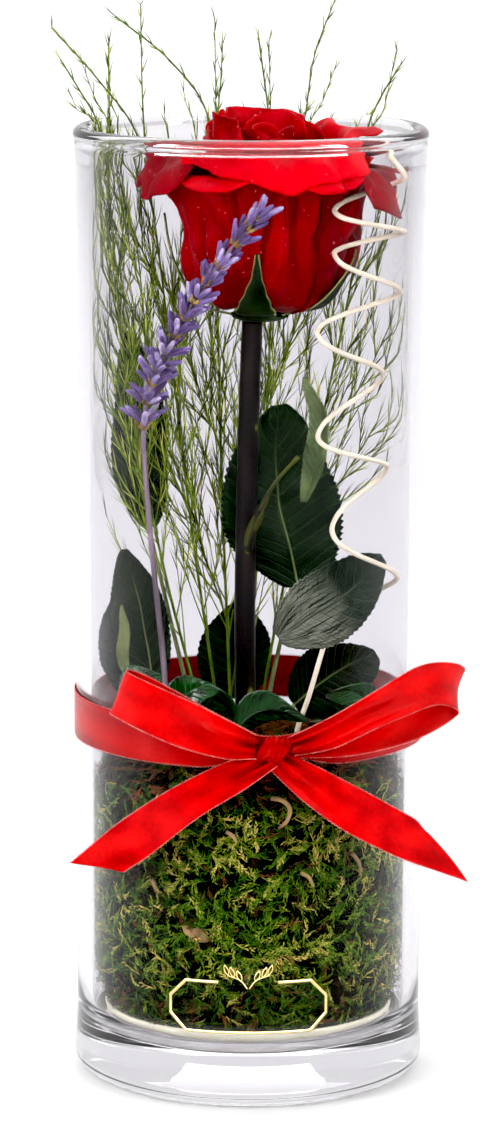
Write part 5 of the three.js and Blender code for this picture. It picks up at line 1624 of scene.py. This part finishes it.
# %% [markdown]
# ## Knot, loops and tails
# The knot is a short barrel that is narrower at both ends, with pleats running round it.
# It is one closed form, because nothing of its inside can be seen. The loops and tails
# are the strips from above, and all four start in the knot.

# %% Knot, loops and tails
KNOT_SIDES, KNOT_ROWS = 72, 29

knot_heap = Heap()
turn, k = np.linspace(0, 2 * np.pi, KNOT_SIDES, endpoint=False), np.linspace(-1, 1, KNOT_ROWS)
swell = 1 - 0.42 * np.abs(k) ** 2.6
pleat = 1 + 0.1 * np.cos(np.pi * 4.5 * k)[None] * (0.7 + 0.3 * np.sin(turn * 2 + 1))[:, None]
lean = 1.5 * np.cos(turn)[:, None]
ring = np.stack([KNOT[0] + 4.0 * k[None] + lean + 0 * pleat,
                 KNOT[1] - 3.1 * np.sin(turn)[:, None] * swell * pleat,
                 KNOT[2] + 3.9 * np.cos(turn)[:, None] * swell * pleat - 0.9 * k[None]], -1)
grid = np.arange(ring.shape[0] * ring.shape[1]).reshape(ring.shape[:2])
after = np.roll(grid, -1, axis=0)
knot_walls = np.stack([grid[:, :-1], grid[:, 1:], after[:, 1:], after[:, :-1]], -1).reshape(-1, 4)
knot_uv = np.stack(np.meshgrid(np.linspace(0, 0.6, KNOT_ROWS), np.linspace(0, 1.6, KNOT_SIDES)), -1)
# painted shade: the knot keeps the default tint of 0.5, which darkens the satin a little
knot_heap.add(ring, [knot_walls, [list(grid[:, 0])], [list(grid[::-1, -1])]], uv=knot_uv)
knot_heap.piece("satin_knot", [satin_red], "satin", ["ribbon_knot"])
print("knot", KNOT_SIDES, "points round")
ribbon_piece("loop_left", LOOP_LEFT, True)
ribbon_piece("loop_right", LOOP_RIGHT, True)
ribbon_piece("tail_left", TAIL_LEFT, False)
ribbon_piece("tail_right", TAIL_RIGHT, False)

# %% [markdown]
# ## Ribbon band
# The band runs once round the glass and ends under the knot at both sides, where it is
# gathered and puckers. It is the same cloth, so it is built as a strip too, straight from
# an angle round the vase.

# %% Ribbon band round the glass
BAND_ROWS, BAND_GAP = 260, 0.004      # the gap is the angle left free at each end
start_at = math.atan2(-math.sqrt(BAND_RADIUS ** 2 - KNOT[0] ** 2), KNOT[0])
around = start_at + np.linspace(BAND_GAP, 2 * np.pi - BAND_GAP, BAND_ROWS)
across_band = np.linspace(-1, 1, 21)[None]
from_knot = BAND_RADIUS * np.minimum(around - around[0], around[-1] - around)[:, None]
half_band = mix(3.0, RIBBON_WIDTH / 2, smooth(0, 24, from_knot))
pucker = 0.35 * np.cos(np.pi * 3.5 * across_band + 0.5) * (1 - smooth(0, 26, from_knot))
band_out = BAND_RADIUS + 0.4 * (1 - smooth(0, 26, from_knot)) + pucker
band_rows = np.stack([band_out * np.cos(around)[:, None], band_out * np.sin(around)[:, None],
                      BAND_HEIGHT + half_band * across_band], -1)
band_heap, band_edging = Heap(), Heap()
# painted shade: the band lies in the loops' shade, so its tint darkens the satin
band_heap.add(*sheet(band_rows, RIBBON_CLOTH), tint=0.55)
band = band_heap.piece("satin_band", [satin_red], "satin", ["ribbon_band"])
for column, upwards in ((0, -1.0), (-1, 1.0)):
    picot(band_edging, band_rows[:, column], np.tile([0, 0, upwards], (BAND_ROWS, 1)))
band_loops = band_edging.piece("picot_band", [picot_red], "satin")

# %% [markdown]
# ## Label
# A clear foil label with a gold line sits low on the front of the glass. The foil is a
# thin clear plate bent round the wall, and the gold is real metal, laid on it as a flat
# band with cut corners. A small plain sprig stands in the gap of the upper line. All of
# it is drawn flat first and then bent round the glass by one function.

# %% Label outlines
LABEL_WIDTH, LABEL_BOTTOM, LABEL_HEIGHT, LABEL_CORNER = 52, 23.8, 18.2, 5.6
CREST_WIDTH, CREST_HEIGHT, CREST_GAP = 20, 7, 9.4
FOIL_IN, FOIL_OUT, GOLD_AT, SPRIG_AT = 54.95, 55.05, 55.1, 55.12      # radii from the vase's axis
GOLD_OUTER, GOLD_INNER, GOLD_THICK = 0.7, 1.55, 0.06      # the line lies between two insets from the edge


def on_glass(flat, radius):
    """Bends (sideways, height) points round the vase's front."""
    sideways, height = np.asarray(flat, float).T
    return np.stack([radius * np.sin(sideways / radius), -radius * np.cos(sideways / radius), height], -1)


def frame_line(inset):
    """The corners of the gold line, from the left of the gap round to its right."""
    half, corner = LABEL_WIDTH / 2 - inset, LABEL_CORNER - inset * 0.4
    low, high = LABEL_BOTTOM + inset, LABEL_BOTTOM + LABEL_HEIGHT - inset
    return np.array([(-CREST_GAP, high), (-half + corner, high), (-half, high - corner),
                     (-half, low + corner), (-half + corner, low), (half - corner, low),
                     (half, low + corner), (half, high - corner), (half - corner, high), (CREST_GAP, high)])


def resampled(corners, count):
    """So many points along the corners, the same number between each two."""
    spot = np.linspace(0, len(corners) - 1, count)
    return np.stack([np.interp(spot, np.arange(len(corners)), corners[:, axis]) for axis in (0, 1)], -1)


def foil_column(x):
    """The foil's lowest and highest point at a place across it."""
    cut = max(0.0, abs(x) - (LABEL_WIDTH / 2 - LABEL_CORNER))
    crest = CREST_HEIGHT * math.sqrt(max(0.0, 1 - (2 * x / CREST_WIDTH) ** 2))
    return [(x, LABEL_BOTTOM + cut), (x, LABEL_BOTTOM + LABEL_HEIGHT - cut + crest)]


print("label", LABEL_WIDTH, "mm wide")

# %% Label
SPRIG_LEAVES, SPRIG_LEAF_LONG = ((2.2, 0.3, 1.5), (4.4, 1.4, 1.3), (6.2, 2.1, 1.2)), 3.4

foil = finish("clear_foil", (0.05, 0.06, 0.04), 0.15, Alpha=0.03, Specular_IOR_Level=0.1)
gold = finish("gold_print", seen(236, 204, 140), 0.35, Metallic=1.0)
colour_by(gold, ramp(gold, spots(gold, 300, 3), (0.3, seen(226, 190, 122)), (0.7, seen(250, 226, 168))))
foil_flat = np.array([foil_column(x) for x in np.linspace(-LABEL_WIDTH / 2, LABEL_WIDTH / 2, 61)])
foil_rows = np.stack([on_glass(line, (FOIL_IN + FOIL_OUT) / 2) for line in foil_flat.transpose(1, 0, 2)])
label_heap = Heap()
label_heap.add(*sheet(foil_rows, FOIL_OUT - FOIL_IN))
line_points = len(evenly(frame_line(GOLD_OUTER), 0.5))
gold_rows = [on_glass(resampled(frame_line(inset), line_points), GOLD_AT)
             for inset in (GOLD_OUTER, GOLD_INNER)]
label_heap.add(*sheet(np.stack(gold_rows), GOLD_THICK), slot=1)
crest_z = LABEL_BOTTOM + LABEL_HEIGHT - 1.0
t = np.linspace(0, 1, 14)
for side in (-1, 1):
    stalk = [(side * 0.3, crest_z - 2.0, 0), (side * 2.4, crest_z + 0.6, 0), (side * 6.4, crest_z + 2.2, 0)]
    label_heap.add(*tube(on_glass(through(stalk, 16)[:, :2], SPRIG_AT), 0.16, 5), slot=1)
    for x, z, wide in SPRIG_LEAVES:
        for flip in (-1, 1):
            leaf = np.stack([side * (x + SPRIG_LEAF_LONG * t * 0.35), crest_z + z + SPRIG_LEAF_LONG * t], -1)
            leaf[:, 0] += flip * wide * 0.5 * np.sin(np.pi * t)
            label_heap.add(*tube(on_glass(leaf, SPRIG_AT), 0.14, 5), slot=1)
label_heap.piece("gold_label", [foil, gold], "foil", ["label"])
print("gold line points", line_points)

# %% [markdown]
# ## The CAD model's box
# The box of the CAD model, found when it was loaded, is printed at the end.

# %% Print the CAD box and finish
print("CAD box", [round(v, 4) for corner in cad_box for v in corner])
